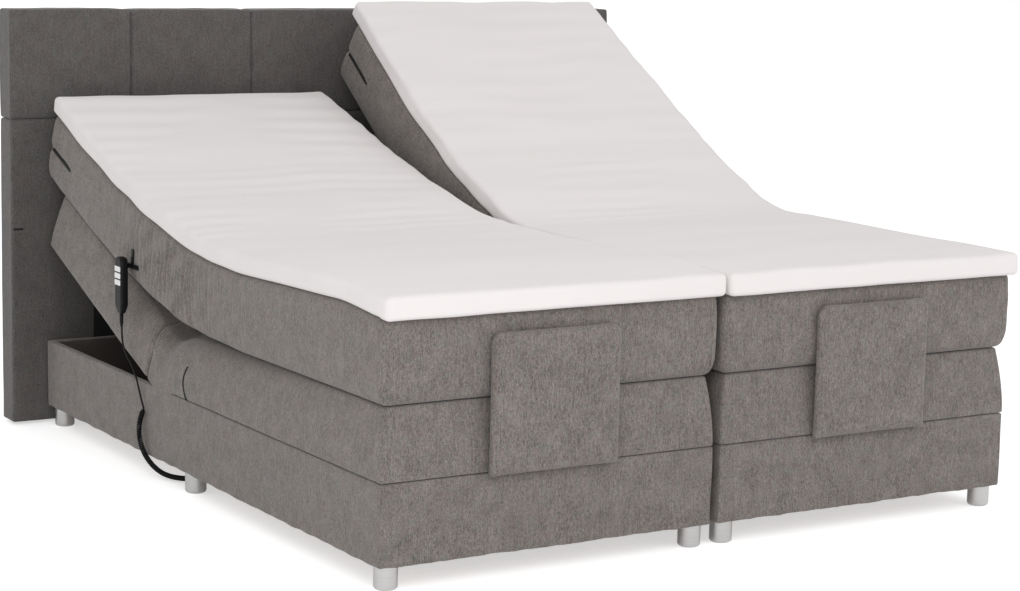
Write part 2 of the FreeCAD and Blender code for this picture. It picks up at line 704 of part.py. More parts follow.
def save_unit(name, unit):
    """Writes the nodes of one bed unit, with its back section at its rest angle."""
    x, angle = unit["x"], unit["angle"]
    pieces = {
        f"{name}_seat_pad": seat_pad(),
        f"{name}_back_pad": raised(back_pad(), angle),
        f"{name}_back_frame": raised(back_frame(), angle),
        f"{name}_thigh_pad": thigh_pad(),
        f"{name}_thigh_frame": thigh_frame(),
        f"{name}_calf_pad": calf_pad_with_notch(),
        f"{name}_calf_frame": calf_frame(),
        f"{name}_mattress_stop": mattress_stop(),
        f"{name}_back_slider": back_slider(angle),
        f"{name}_leg_slider": leg_slider(),
    }
    pieces.update(soft_layers(name, unit))
    for node, shape in pieces.items():
        save(node, [shifted(shape, x)])


def save_handset():
    """Writes the handset, its buttons, its hook and its cord."""
    save("handset_front", [handset_front()])
    save("handset_back", [handset_back()])
    save("handset_hook", [handset_hook()])
    for number, (y, z) in enumerate(button_places(), start=1):
        save(f"handset_button_{number}", [handset_button(y, z)])
    save("handset_strain_relief", [strain_relief()])
    save("handset_cord", [tube("handset cord", CORD_ROUTE, CORD_RADIUS)])
    save("handset_curly_cord", [tube("curly cord", COIL_ROUTE, COIL_RADIUS)])
    save("cord_gland", [cord_gland()])


os.makedirs("parts", exist_ok=True)
save_shared()
for unit_name, unit_sizes in UNITS.items():
    save_unit(unit_name, unit_sizes)
save_handset()
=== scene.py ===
"""An electric twin bed: soft covers, finishes, cords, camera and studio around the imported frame."""

import json
import logging
import math
from collections.abc import Callable, Sequence
from dataclasses import dataclass
from enum import Enum

import bmesh
import bpy
import numpy as np
from mathutils import Matrix, Vector


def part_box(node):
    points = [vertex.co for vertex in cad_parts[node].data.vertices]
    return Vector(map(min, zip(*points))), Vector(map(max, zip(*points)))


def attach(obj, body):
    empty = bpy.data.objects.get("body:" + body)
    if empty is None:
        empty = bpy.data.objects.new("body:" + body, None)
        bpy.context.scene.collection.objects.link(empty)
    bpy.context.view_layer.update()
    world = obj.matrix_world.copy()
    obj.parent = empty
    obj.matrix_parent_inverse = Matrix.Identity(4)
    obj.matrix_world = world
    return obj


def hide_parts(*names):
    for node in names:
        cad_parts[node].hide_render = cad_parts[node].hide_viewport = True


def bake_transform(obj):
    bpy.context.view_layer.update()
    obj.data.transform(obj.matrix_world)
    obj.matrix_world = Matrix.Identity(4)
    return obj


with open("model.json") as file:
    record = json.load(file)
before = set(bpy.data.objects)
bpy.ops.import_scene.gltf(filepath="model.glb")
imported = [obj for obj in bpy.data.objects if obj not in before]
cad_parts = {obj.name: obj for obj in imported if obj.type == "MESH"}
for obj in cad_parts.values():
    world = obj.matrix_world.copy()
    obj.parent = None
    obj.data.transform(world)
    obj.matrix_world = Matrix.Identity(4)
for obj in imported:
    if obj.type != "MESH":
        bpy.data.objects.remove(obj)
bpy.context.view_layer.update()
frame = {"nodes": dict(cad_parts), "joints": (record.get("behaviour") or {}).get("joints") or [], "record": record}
LOG = logging.getLogger("twin_bed")

Field = Callable[[np.ndarray, np.ndarray], np.ndarray]
Place = tuple[float, float, float]
Color = tuple[float, float, float, float]
Knots = tuple[tuple[float, float], ...]
Zone = tuple[Place, Place]
Socket = bpy.types.NodeSocket

# Sizes in metres; heights are above the floor.
FOOT_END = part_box("base_sides")[0].y
UNIT_LENGTH = 2.0
HALF_WIDTH = 0.45
UNIT_CENTRE = 0.461
BASE_BOTTOM = 0.055
BASE_TOP = 0.245
PAD_BOTTOM = 0.2465
PAD_TOP = 0.415
MATTRESS_BOTTOM = 0.4165
MATTRESS_TOP = 0.604
TOPPER_BOTTOM = 0.6055
TOPPER_TOP = 0.668
CLOTH = "cloth"
MOST_CUTS = 90
SETTLE_ROUNDS = 60
SHARP = math.radians(60)
MITRE = math.tan(math.radians(28))


class Side(Enum):
    """The two single units of the bed."""

    LEFT = -1
    RIGHT = 1

    @property
    def word(self) -> str:
        """The side's name as the frame's bodies use it."""
        return self.name.lower()

    @property
    def centre(self) -> float:
        """The X of the unit's middle plane."""
        return self.value * UNIT_CENTRE


class Slot(Enum):
    """The record's material slots."""

    BASE = "base_fabric"
    HEADBOARD = "headboard_fabric"
    MATTRESS = "mattress_fabric"
    TOPPER = "topper_fabric"
    FOOT = "foot_metal"
    STEEL = "steel"
    BLACK_STEEL = "black_steel"
    PLYWOOD = "plywood"
    BLACK_PLASTIC = "black_plastic"
    HANDSET = "handset_plastic"
    BUTTON = "button_white"
    CORD = "cord_rubber"


# ------------------------------------------------------------------ mesh helpers
def along(y: float) -> float:
    """The row-frame Y of a place measured from the foot end of the bases."""
    return FOOT_END + y


def smooth_step(share: np.ndarray) -> np.ndarray:
    """Eases a share from 0 to 1, as a blended cover does."""
    t = np.clip(share, 0.0, 1.0)
    return t * t * (3.0 - 2.0 * t)


def deselect_all() -> None:
    """Clears the selection in object mode."""
    if bpy.context.mode != "OBJECT":
        bpy.ops.object.mode_set(mode="OBJECT")
    bpy.ops.object.select_all(action="DESELECT")


def activate(obj: bpy.types.Object) -> None:
    """Makes one object the only selected and active one.

    Args:
        obj: the object to work on.
    """
    deselect_all()
    obj.select_set(True)
    bpy.context.view_layer.objects.active = obj


def apply_modifiers(obj: bpy.types.Object) -> None:
    """Applies every modifier of an object in order.

    Args:
        obj: the object with the modifiers.
    """
    activate(obj)
    for modifier in list(obj.modifiers):
        bpy.ops.object.modifier_apply(modifier=modifier.name)


def coordinates(obj: bpy.types.Object) -> np.ndarray:
    """Reads the mesh's vertex places.

    Args:
        obj: the mesh object.

    Returns:
        An (n, 3) array.
    """
    values = np.empty(len(obj.data.vertices) * 3, np.float32)
    obj.data.vertices.foreach_get("co", values)
    return values.reshape(-1, 3).astype(float)


def place_vertices(obj: bpy.types.Object, points: np.ndarray) -> None:
    """Writes new vertex places into the mesh."""
    obj.data.vertices.foreach_set("co", points.astype(np.float32).ravel())
    obj.data.update()


def normals(obj: bpy.types.Object) -> np.ndarray:
    """Reads the mesh's vertex normals.

    Args:
        obj: the mesh object.

    Returns:
        An (n, 3) array.
    """
    values = np.empty(len(obj.data.vertices) * 3, np.float32)
    obj.data.vertices.foreach_get("normal", values)
    return values.reshape(-1, 3).astype(float)


def store_cloth(obj: bpy.types.Object, points: np.ndarray) -> None:
    """Keeps the flat place of every vertex, which the weave is drawn on.

    Args:
        obj: the covered piece.
        points: one flat place per vertex.
    """
    layer = obj.data.attributes.new(CLOTH, "FLOAT_VECTOR", "POINT")
    layer.data.foreach_set("vector", points.astype(np.float32).ravel())


def cloth_places(obj: bpy.types.Object) -> np.ndarray:
    """Reads the flat places that store_cloth kept.

    Args:
        obj: the covered piece.

    Returns:
        An (n, 3) array.
    """
    values = np.empty(len(obj.data.vertices) * 3, np.float32)
    obj.data.attributes[CLOTH].data.foreach_get("vector", values)
    return values.reshape(-1, 3).astype(float)


def push_along_normals(obj: bpy.types.Object, depth: Field) -> None:
    """Moves each vertex along its normal.

    Args:
        obj: the mesh to shape.
        depth: gives metres per vertex from the places and the normals.
    """
    points, outward = coordinates(obj), normals(obj)
    place_vertices(obj, points + outward * depth(points, outward)[:, None])


def swell(
    points: np.ndarray, seed: int, wavelength: float, stretch: Sequence[float] = (1, 1, 1)
) -> np.ndarray:
    """Soft irregular waves, about -1 to 1, the same on every run.

    Args:
        points: places in metres.
        seed: chooses the pattern.
        wavelength: the usual distance between crests.
        stretch: how fast the pattern changes along X, Y and Z.

    Returns:
        One value per point.
    """
    waves = 7
    rng = np.random.default_rng(seed)
    total = np.zeros(len(points))
    scaled = points * np.array(stretch)
    for _ in range(waves):
        direction = rng.normal(size=3)
        direction /= np.linalg.norm(direction)
        pace = 2 * math.pi / (wavelength * rng.uniform(0.7, 1.5))
        total += np.sin(scaled @ direction * pace + rng.uniform(0, 2 * math.pi))
    return total / math.sqrt(waves)


def bump_at(values: np.ndarray, middle: float, width: float) -> np.ndarray:
    """A bell of height 1 around a middle value."""
    return np.exp(-(((values - middle) / width) ** 2))


def turn(points: np.ndarray, centre: Sequence[float], angle: float | np.ndarray) -> np.ndarray:
    """Turns points about an axis along X; positive lifts what lies towards the head end.

    Args:
        points: an (n, 3) array.
        centre: a point on the axis.
        angle: radians, one value or one per point.

    Returns:
        The turned points.
    """
    y, z = points[:, 1] - centre[1], points[:, 2] - centre[2]
    cosine, sine = np.cos(angle), np.sin(angle)
    turned = points.copy()
    turned[:, 1] = centre[1] + y * cosine - z * sine
    turned[:, 2] = centre[2] + y * sine + z * cosine
    return turned


def long_edges(
    obj: bpy.types.Object, axis: int, shortest: float, within: tuple[float, float] | None = None
) -> int:
    """Selects the edges of the mesh in edit mode that run along one axis.

    Args:
        obj: the mesh being edited.
        axis: 0, 1 or 2.
        shortest: the least length to select.
        within: the range along that axis that the edge's middle must lie in.

    Returns:
        How many edges were selected.
    """
    mesh = bmesh.from_edit_mesh(obj.data)
    found = 0
    for face in mesh.faces:
        face.select = False
    for edge in mesh.edges:
        reach = edge.verts[1].co - edge.verts[0].co
        middle = (edge.verts[0].co[axis] + edge.verts[1].co[axis]) / 2
        straight = abs(reach[axis]) >= shortest and abs(reach[axis]) > 0.98 * reach.length
        edge.select = straight and (within is None or within[0] < middle < within[1])
        found += edge.select
    bmesh.update_edit_mesh(obj.data)
    return found


def divide(
    obj: bpy.types.Object, axis: int, shortest: float, rows: int, within: tuple[float, float] | None = None
) -> None:
    """Divides the long edges along one axis into rows, in two passes when there are many.

    Args:
        obj: the mesh being edited.
        axis: 0, 1 or 2.
        shortest: the least length of an edge to divide.
        rows: how many rows to make.
        within: the range along that axis that the edge's middle must lie in.
    """
    passes = max(1, math.ceil(rows / MOST_CUTS))
    if rows < 2:
        return
    long_edges(obj, axis, shortest, within)
    bpy.ops.mesh.subdivide(number_cuts=round(rows / passes) - 1)
    if passes > 1:
        long_edges(obj, axis, shortest * passes / rows * 0.95, within)
        bpy.ops.mesh.subdivide(number_cuts=passes - 1)


def pick_faces(obj: bpy.types.Object, test: Callable[[bmesh.types.BMFace], bool]) -> None:
    """Selects, in edit mode, the faces that pass a test.

    Args:
        obj: the mesh being edited.
        test: says whether a face is wanted.
    """
    bpy.ops.mesh.select_mode(type="FACE")
    bpy.ops.mesh.select_all(action="DESELECT")
    mesh = bmesh.from_edit_mesh(obj.data)
    for face in mesh.faces:
        face.select_set(test(face))
    bmesh.update_edit_mesh(obj.data)


def cut_rows(place: Place, across: Place) -> None:
    """Adds a row of edges where a plane crosses the mesh being edited."""
    bpy.ops.mesh.select_all(action="SELECT")
    bpy.ops.mesh.bisect(plane_co=place, plane_no=across)


@dataclass(frozen=True)
class SoftBlock:
    """A rounded, finely divided block of upholstery between two corners.

    The divisions are the number of rows along X, Y and Z; cuts are extra rows at given Y places and
    ribs at given X places.
    """

    name: str
    low: Place
    high: Place
    radius: float
    divisions: tuple[int, int, int]
    segments: int = 4
    cuts: tuple[float, ...] = ()
    ribs: tuple[float, ...] = ()
    hollow: float = 0.0
    hollow_rim: float = 0.046

    def build(self) -> bpy.types.Object:
        """Adds the block, opens its underside if it is hollow, rounds it and divides it.

        Returns:
            The new object, at the origin, with its place in its mesh.
        """
        deselect_all()
        low, high = Vector(self.low), Vector(self.high)
        bpy.ops.mesh.primitive_cube_add(size=1.0, location=(low + high) / 2)
        obj = bpy.context.active_object
        obj.name = self.name
        obj.scale = high - low
        bpy.ops.object.transform_apply(location=True, rotation=True, scale=True)
        bpy.ops.object.mode_set(mode="EDIT")
        if self.hollow:
            pick_faces(obj, lambda face: face.normal.z < -0.9)
            bpy.ops.mesh.inset(thickness=self.hollow_rim)
            bpy.ops.mesh.extrude_region_move(TRANSFORM_OT_translate={"value": (0, 0, self.hollow)})
        bpy.ops.mesh.select_mode(type="EDGE")
        bpy.ops.mesh.select_all(action="SELECT")
        bpy.ops.mesh.bevel(offset=self.radius, segments=self.segments, affect="EDGES", clamp_overlap=True)
        size = high - low
        for axis, rows in enumerate(self.divisions):
            divide(obj, axis, size[axis] * 0.55, rows)
        for place in self.cuts:
            cut_rows((0, place, 0), (0, 1, 0))
        for place in self.ribs:
            cut_rows((place, 0, 0), (1, 0, 0))
        bpy.ops.object.mode_set(mode="OBJECT")
        store_cloth(obj, coordinates(obj))
        return obj


def round_edges(obj: bpy.types.Object, radius: float, segments: int) -> None:
    """Adds a Bevel modifier that rounds the sharp edges.

    Args:
        obj: the mesh object.
        radius: the rounding in metres.
        segments: the steps of the rounding.
    """
    rounding = obj.modifiers.new("rounding", "BEVEL")
    rounding.width = radius
    rounding.segments = segments
    rounding.limit_method = "ANGLE"
    rounding.angle_limit = SHARP


def shade_soft(obj: bpy.types.Object, degrees: float = 60.0) -> None:
    """Smooth shading, kept crisp at sharp edges."""
    activate(obj)
    bpy.ops.object.shade_smooth_by_angle(angle=math.radians(degrees))


def split_at(
    obj: bpy.types.Object, places: Sequence[float], names: Sequence[str]
) -> list[bpy.types.Object]:
    """Cuts a long piece into separate objects at flat Y places, foot end first.

    Args:
        obj: the whole piece, which has vertex rows at those places.
        places: the flat Y places, rising.
        names: one name more than there are places.

    Returns:
        The pieces in the order of the names.
    """
    pieces = []
    for place, name in zip(places, names):
        flat = cloth_places(obj)[:, 1]
        activate(obj)
        bpy.ops.object.mode_set(mode="EDIT")
        mesh = bmesh.from_edit_mesh(obj.data)
        mesh.verts.ensure_lookup_table()
        bpy.ops.mesh.select_mode(type="FACE")
        bpy.ops.mesh.select_all(action="DESELECT")
        for face in mesh.faces:
            middle = sum(flat[vertex.index] for vertex in face.verts) / len(face.verts)
            face.select_set(bool(middle < place))
        bmesh.update_edit_mesh(obj.data)
        bpy.ops.mesh.separate(type="SELECTED")
        bpy.ops.object.mode_set(mode="OBJECT")
        part = next(found for found in bpy.context.selected_objects if found is not obj)
        part.name = name
        part.data.name = name
        pieces.append(part)
    obj.name = names[-1]
    obj.data.name = names[-1]
    return pieces + [obj]


# ------------------------------------------------------------------ shader helpers
def new_material(name: str) -> tuple[bpy.types.Material, bpy.types.Node]:
    """Starts a node material.

    Args:
        name: the material's name.

    Returns:
        The material and its Principled shader.
    """
    material = bpy.data.materials.new(name)
    material.use_nodes = True
    return material, material.node_tree.nodes["Principled BSDF"]


def new_surface_group(name: str, inputs: Sequence[tuple]) -> bpy.types.NodeTree:
    """Starts a node group that gives a colour, a height and a roughness on a vector.

    Args:
        name: the group's name.
        inputs: (name, socket type, default) of each input besides the vector.

    Returns:
        The group, with its sockets and nothing inside.
    """
    group = bpy.data.node_groups.new(name, "ShaderNodeTree")
    group.interface.new_socket("Vector", in_out="INPUT", socket_type="NodeSocketVector")
    for label, kind, default in inputs:
        socket = group.interface.new_socket(label, in_out="INPUT", socket_type=kind)
        socket.default_value = default
    outputs = {"Color": "NodeSocketColor", "Height": "NodeSocketFloat", "Roughness": "NodeSocketFloat"}
    for label, kind in outputs.items():
        group.interface.new_socket(label, in_out="OUTPUT", socket_type=kind)
    return group


class GroupWiring:
    """Short forms for placing nodes in one tree."""

    def __init__(self, tree: bpy.types.NodeTree) -> None:
        """Keeps the tree that nodes are added to."""
        self.tree = tree

    def node(self, kind: str, **settings: object) -> bpy.types.Node:
        """Adds a node.

        Args:
            kind: the node's type.
            **settings: the properties to set on it.

        Returns:
            The new node.
        """
        added = self.tree.nodes.new(kind)
        for name, value in settings.items():
            setattr(added, name, value)
        return added

    def link(self, source: Socket, target: Socket) -> None:
        """Joins two sockets."""
        self.tree.links.new(source, target)

    def scaled(self, vector: Socket, factors: Place) -> Socket:
        """Multiplies a vector axis by axis.

        Args:
            vector: the vector.
            factors: one factor per axis.

        Returns:
            The scaled vector.
        """
        node = self.node("ShaderNodeVectorMath", operation="MULTIPLY")
        self.link(vector, node.inputs[0])
        node.inputs[1].default_value = factors
        return node.outputs[0]

    def noise(self, vector: Socket, scale: float, detail: float = 2.0, rough: float = 0.5) -> Socket:
        """Adds noise on a vector.

        Args:
            vector: where the noise is read.
            scale: how fine the noise is.
            detail: how many finer layers it has.
            rough: how strong the finer layers are.

        Returns:
            A value about 0.5.
        """
        node = self.node("ShaderNodeTexNoise")
        self.link(vector, node.inputs["Vector"])
        node.inputs["Scale"].default_value = scale
        node.inputs["Detail"].default_value = detail
        node.inputs["Roughness"].default_value = rough
        return node.outputs[0]

    def ramp(
        self, value: Socket, low: float, high: float, to_low: float = 0.0, to_high: float = 1.0
    ) -> Socket:
        """Maps a value from one range to another and holds it at the ends.

        Args:
            value: the value to map.
            low: where the first range starts.
            high: where the first range ends.
            to_low: what low becomes.
            to_high: what high becomes.

        Returns:
            The mapped value.
        """
        node = self.node("ShaderNodeMapRange")
        self.link(value, node.inputs["Value"])
        for name, number in (("From Min", low), ("From Max", high), ("To Min", to_low), ("To Max", to_high)):
            node.inputs[name].default_value = number
        return node.outputs[0]

    def math(self, operation: str, first: Socket | float, second: Socket | float) -> Socket:
        """Does a sum, product or other operation.

        Args:
            operation: the operation's name.
            first: the first value.
            second: the second value.

        Returns:
            The result.
        """
        node = self.node("ShaderNodeMath", operation=operation)
        for socket, value in zip(node.inputs, (first, second)):
            if isinstance(value, (int, float)):
                socket.default_value = value
            else:
                self.link(value, socket)
        return node.outputs[0]

    def weighted(self, parts: Sequence[tuple[Socket, float]]) -> Socket:
        """Adds up values that each have a weight.

        Args:
            parts: (value, weight) pairs.

        Returns:
            The weighted sum.
        """
        products = [self.math("MULTIPLY", value, weight) for value, weight in parts]
        total = products[0]
        for product in products[1:]:
            total = self.math("ADD", total, product)
        return total

    def mix(self, share: Socket, first: Socket | Color, second: Socket | Color, blend: str = "MIX") -> Socket:
        """Blends two colours.

        Args:
            share: how much of the second colour there is.
            first: the first colour.
            second: the second colour.
            blend: the way of blending.

        Returns:
            The blended colour.
        """
        node = self.node("ShaderNodeMix", data_type="RGBA", blend_type=blend)
        self.link(share, node.inputs[0])
        color_a, color_b = node.inputs[6], node.inputs[7]
        for socket, value in ((color_a, first), (color_b, second)):
            if isinstance(value, tuple):
                socket.default_value = value
            else:
                self.link(value, socket)
        return node.outputs[2]

    def bump(self, height: Socket, distance: float, strength: float = 1.0) -> Socket:
        """Makes a normal from a height.

        Args:
            height: the height.
            distance: metres per unit of height.
            strength: how much of the bump shows.

        Returns:
            The bumped normal.
        """
        node = self.node("ShaderNodeBump")
        node.inputs["Strength"].default_value = strength
        node.inputs["Distance"].default_value = distance
        self.link(height, node.inputs["Height"])
        return node.outputs["Normal"]


WARM_FLECK = (1.0, 0.89, 0.86, 1.0)
GREEN_FLECK = (0.91, 1.0, 0.93, 1.0)
WHITE = (1.0, 1.0, 1.0, 1.0)


def melange_group() -> bpy.types.NodeTree:
    """The heathered weave: fine upright threads of two shades with faint warm and green flecks.

    Returns:
        The node group, built once.
    """
    name = "melange_weave"
    if name in bpy.data.node_groups:
        return bpy.data.node_groups[name]
    group = new_surface_group(
        name,
        (
            ("Light", "NodeSocketColor", (0.3, 0.28, 0.26, 1)),
            ("Dark", "NodeSocketColor", (0.1, 0.09, 0.08, 1)),
        ),
    )
    wiring = GroupWiring(group)
    source = wiring.node("NodeGroupInput")
    vector = source.outputs["Vector"]
    threads = wiring.noise(wiring.scaled(vector, (1.0, 1.0, 0.30)), 430.0, 2.0, 0.6)
    long_threads = wiring.noise(wiring.scaled(vector, (1.0, 1.0, 0.14)), 170.0, 2.0, 0.5)
    picks = wiring.noise(wiring.scaled(vector, (0.5, 0.5, 1.0)), 520.0, 2.0, 0.5)
    specks = wiring.noise(vector, 380.0, 2.0, 0.65)
    clouds = wiring.noise(vector, 22.0, 3.0, 0.55)
    fleck = wiring.noise(vector, 75.0, 2.0, 0.5)
    parts = ((threads, 0.40), (long_threads, 0.14), (picks, 0.16), (specks, 0.36), (clouds, 0.14))
    share = wiring.ramp(wiring.weighted(parts), 0.49, 0.71)
    shade = wiring.mix(share, source.outputs["Dark"], source.outputs["Light"])
    warm = wiring.mix(wiring.ramp(fleck, 0.52, 0.66, 0.0, 0.6), shade, WARM_FLECK, "MULTIPLY")
    green = wiring.mix(wiring.ramp(fleck, 0.48, 0.34, 0.0, 0.6), warm, GREEN_FLECK, "MULTIPLY")
    sink = wiring.node("NodeGroupOutput")
    wiring.link(green, sink.inputs["Color"])
    wiring.link(wiring.weighted(((threads, 0.6), (picks, 0.4))), sink.inputs["Height"])
    wiring.link(wiring.ramp(share, 0.0, 1.0, 0.96, 0.82), sink.inputs["Roughness"])
    return group


def grain_group() -> bpy.types.NodeTree:
    """Fine moulded or powder-coated grain with faint wear, as a shade, a height and a roughness.

    Returns:
        The node group, built once.
    """
    name = "fine_grain"
    if name in bpy.data.node_groups:
        return bpy.data.node_groups[name]
    group = new_surface_group(
        name,
        (
            ("Color", "NodeSocketColor", (0.05, 0.05, 0.05, 1)),
            ("Grain", "NodeSocketFloat", 900.0),
            ("Smooth", "NodeSocketFloat", 0.35),
            ("Rough", "NodeSocketFloat", 0.6),
        ),
    )
    wiring = GroupWiring(group)
    source = wiring.node("NodeGroupInput")
    fine = wiring.node("ShaderNodeTexNoise")
    wiring.link(source.outputs["Vector"], fine.inputs["Vector"])
    wiring.link(source.outputs["Grain"], fine.inputs["Scale"])
    clouds = wiring.noise(source.outputs["Vector"], 14.0, 3.0, 0.6)
    wear = wiring.ramp(clouds, 0.45, 0.75, 0.0, 0.25)
    worn = wiring.mix(wear, source.outputs["Color"], WHITE, "SOFT_LIGHT")
    sink = wiring.node("NodeGroupOutput")
    wiring.link(worn, sink.inputs["Color"])
    wiring.link(fine.outputs[0], sink.inputs["Height"])
    spread = wiring.node("ShaderNodeMapRange")
    wiring.link(clouds, spread.inputs["Value"])
    wiring.link(source.outputs["Smooth"], spread.inputs["To Min"])
    wiring.link(source.outputs["Rough"], spread.inputs["To Max"])
    wiring.link(spread.outputs[0], sink.inputs["Roughness"])
    return group


# ------------------------------------------------------------------ finishes
@dataclass(frozen=True)
class Melange:
    """Woven heathered upholstery, drawn on the cloth's own flat places."""

    name: str
    light: Color
    dark: Color

    def material(self) -> bpy.types.Material:
        """Builds the fabric with its threads in colour, roughness and bump.

        Returns:
            The material.
        """
        material, shader = new_material(self.name)
        wiring = GroupWiring(material.node_tree)
        cloth = wiring.node("ShaderNodeAttribute", attribute_name=CLOTH)
        weave = wiring.node("ShaderNodeGroup", node_tree=melange_group())
        weave.inputs["Light"].default_value = self.light
        weave.inputs["Dark"].default_value = self.dark
        wiring.link(cloth.outputs["Vector"], weave.inputs["Vector"])
        wiring.link(weave.outputs["Color"], shader.inputs["Base Color"])
        wiring.link(weave.outputs["Roughness"], shader.inputs["Roughness"])
        wiring.link(wiring.bump(weave.outputs["Height"], 0.0012, 0.6), shader.inputs["Normal"])
        shader.inputs["Sheen Weight"].default_value = 0.25
        shader.inputs["Sheen Roughness"].default_value = 0.5
        shader.inputs["Specular IOR Level"].default_value = 0.2
        return material


@dataclass(frozen=True)
class KnitCover:
    """The topper's smooth off-white knitted cover."""

    name: str
    color: Color
    shade: Color

    def material(self) -> bpy.types.Material:
        """Builds the knit with faint cross ripples and a fine loop texture.

        Returns:
            The material.
        """
        material, shader = new_material(self.name)
        wiring = GroupWiring(material.node_tree)
        cloth = wiring.node("ShaderNodeAttribute", attribute_name=CLOTH).outputs["Vector"]
        loops = wiring.noise(wiring.scaled(cloth, (1.0, 0.45, 1.0)), 700.0, 2.0, 0.5)
        clouds = wiring.noise(wiring.scaled(cloth, (0.35, 1.6, 1.0)), 5.0, 3.0, 0.5)
        crease = wiring.noise(wiring.scaled(cloth, (0.12, 1.0, 1.0)), 24.0, 2.0, 0.45)
        share = wiring.weighted(((clouds, 0.6), (loops, 0.4)))
        color = wiring.mix(wiring.ramp(share, 0.38, 0.62), self.shade, self.color)
        wiring.link(color, shader.inputs["Base Color"])
        wiring.link(wiring.ramp(loops, 0.3, 0.7, 0.78, 0.92), shader.inputs["Roughness"])
        height = wiring.weighted(((crease, 0.55), (loops, 0.06)))
        wiring.link(wiring.bump(height, 0.006, 0.28), shader.inputs["Normal"])
        shader.inputs["Sheen Weight"].default_value = 0.15
        shader.inputs["Specular IOR Level"].default_value = 0.25
        return material


@dataclass(frozen=True)
class Grained:
    """Moulded plastic, rubber or powder-coated steel."""

    name: str
    color: Color
    grain: float
    smooth: float
    rough: float
    metallic: float = 0.0
    depth: float = 0.0002
    gloss: float = 0.5

    def material(self) -> bpy.types.Material:
        """Builds the finish with its grain in colour, roughness and bump.

        Returns:
            The material.
        """
        material, shader = new_material(self.name)
        wiring = GroupWiring(material.node_tree)
        place = wiring.node("ShaderNodeTexCoord").outputs["Object"]
        grain = wiring.node("ShaderNodeGroup", node_tree=grain_group())
        grain.inputs["Color"].default_value = self.color
        grain.inputs["Grain"].default_value = self.grain
        grain.inputs["Smooth"].default_value = self.smooth
        grain.inputs["Rough"].default_value = self.rough
        wiring.link(place, grain.inputs["Vector"])
        wiring.link(grain.outputs["Color"], shader.inputs["Base Color"])
        wiring.link(grain.outputs["Roughness"], shader.inputs["Roughness"])
        wiring.link(wiring.bump(grain.outputs["Height"], self.depth, 0.4), shader.inputs["Normal"])
        shader.inputs["Metallic"].default_value = self.metallic
        shader.inputs["Specular IOR Level"].default_value = self.gloss
        return material


@dataclass(frozen=True)
class TurnedMetal:
    """Satin aluminium with fine rings of the lathe."""

    name: str
    color: Color

    def material(self) -> bpy.types.Material:
        """Builds the metal with faint turning rings.

        Returns:
            The material.
        """
        material, shader = new_material(self.name)
        wiring = GroupWiring(material.node_tree)
        place = wiring.node("ShaderNodeTexCoord").outputs["Object"]
        rings = wiring.noise(wiring.scaled(place, (0.02, 0.02, 1.0)), 900.0, 2.0, 0.5)
        wiring.link(wiring.ramp(rings, 0.3, 0.7, 0.28, 0.42), shader.inputs["Roughness"])
        darker = tuple(0.9 * channel for channel in self.color[:3]) + (1.0,)
        tone = wiring.mix(wiring.ramp(rings, 0.3, 0.7), darker, self.color)
        wiring.link(tone, shader.inputs["Base Color"])
        wiring.link(wiring.bump(rings, 0.0001, 0.3), shader.inputs["Normal"])
        shader.inputs["Metallic"].default_value = 1.0
        return material


@dataclass(frozen=True)
class Plywood:
    """Plain brown board with long grain."""

    name: str
    light: Color
    dark: Color

    def material(self) -> bpy.types.Material:
        """Builds the board with grain along the bed.

        Returns:
            The material.
        """
        material, shader = new_material(self.name)
        wiring = GroupWiring(material.node_tree)
        place = wiring.node("ShaderNodeTexCoord").outputs["Object"]
        grain = wiring.noise(wiring.scaled(place, (1.0, 0.06, 1.0)), 60.0, 5.0, 0.6)
        fine = wiring.noise(wiring.scaled(place, (1.0, 0.04, 1.0)), 420.0, 2.0, 0.5)
        share = wiring.weighted(((grain, 0.7), (fine, 0.3)))
        tone = wiring.mix(wiring.ramp(share, 0.35, 0.65), self.dark, self.light)
        wiring.link(tone, shader.inputs["Base Color"])
        wiring.link(wiring.ramp(fine, 0.3, 0.7, 0.55, 0.75), shader.inputs["Roughness"])
        wiring.link(wiring.bump(share, 0.0006, 0.4), shader.inputs["Normal"])
        return material


FABRIC_LIGHT = (0.286, 0.256, 0.238, 1.0)
FABRIC_DARK = (0.105, 0.093, 0.087, 1.0)
FINISHES = {
    Slot.BASE: Melange("base_fabric", FABRIC_LIGHT, FABRIC_DARK),
    Slot.MATTRESS: Melange("mattress_fabric", FABRIC_LIGHT, FABRIC_DARK),
    Slot.HEADBOARD: Melange("headboard_fabric", (0.160, 0.148, 0.143, 1.0), (0.075, 0.069, 0.067, 1.0)),
    Slot.TOPPER: KnitCover("topper_knit", (0.880, 0.843, 0.835, 1.0), (0.848, 0.811, 0.802, 1.0)),
    Slot.FOOT: TurnedMetal("foot_aluminium", (0.74, 0.735, 0.73, 1.0)),
    Slot.STEEL: Grained("zinc_steel", (0.52, 0.52, 0.5, 1.0), 500.0, 0.3, 0.45, metallic=1.0),
    Slot.BLACK_STEEL: Grained("black_powder_coat", (0.022, 0.022, 0.023, 1.0), 1400.0, 0.45, 0.6),
    Slot.PLYWOOD: Plywood("brown_plywood", (0.24, 0.155, 0.095, 1.0), (0.13, 0.08, 0.05, 1.0)),
    Slot.BLACK_PLASTIC: Grained("black_housing", (0.02, 0.02, 0.021, 1.0), 900.0, 0.4, 0.55),
    Slot.HANDSET: Grained("handset_plastic", (0.006, 0.006, 0.0065, 1.0), 1600.0, 0.32, 0.48, gloss=0.22),
    Slot.BUTTON: Grained("button_white", (0.93, 0.93, 0.93, 1.0), 1600.0, 0.35, 0.45),
    Slot.CORD: Grained("cord_jacket", (0.006, 0.006, 0.0065, 1.0), 1200.0, 0.38, 0.55, gloss=0.22),
}
LINING = Grained("dark_lining", (0.095, 0.080, 0.072, 1.0), 700.0, 0.85, 0.95, depth=0.0006)
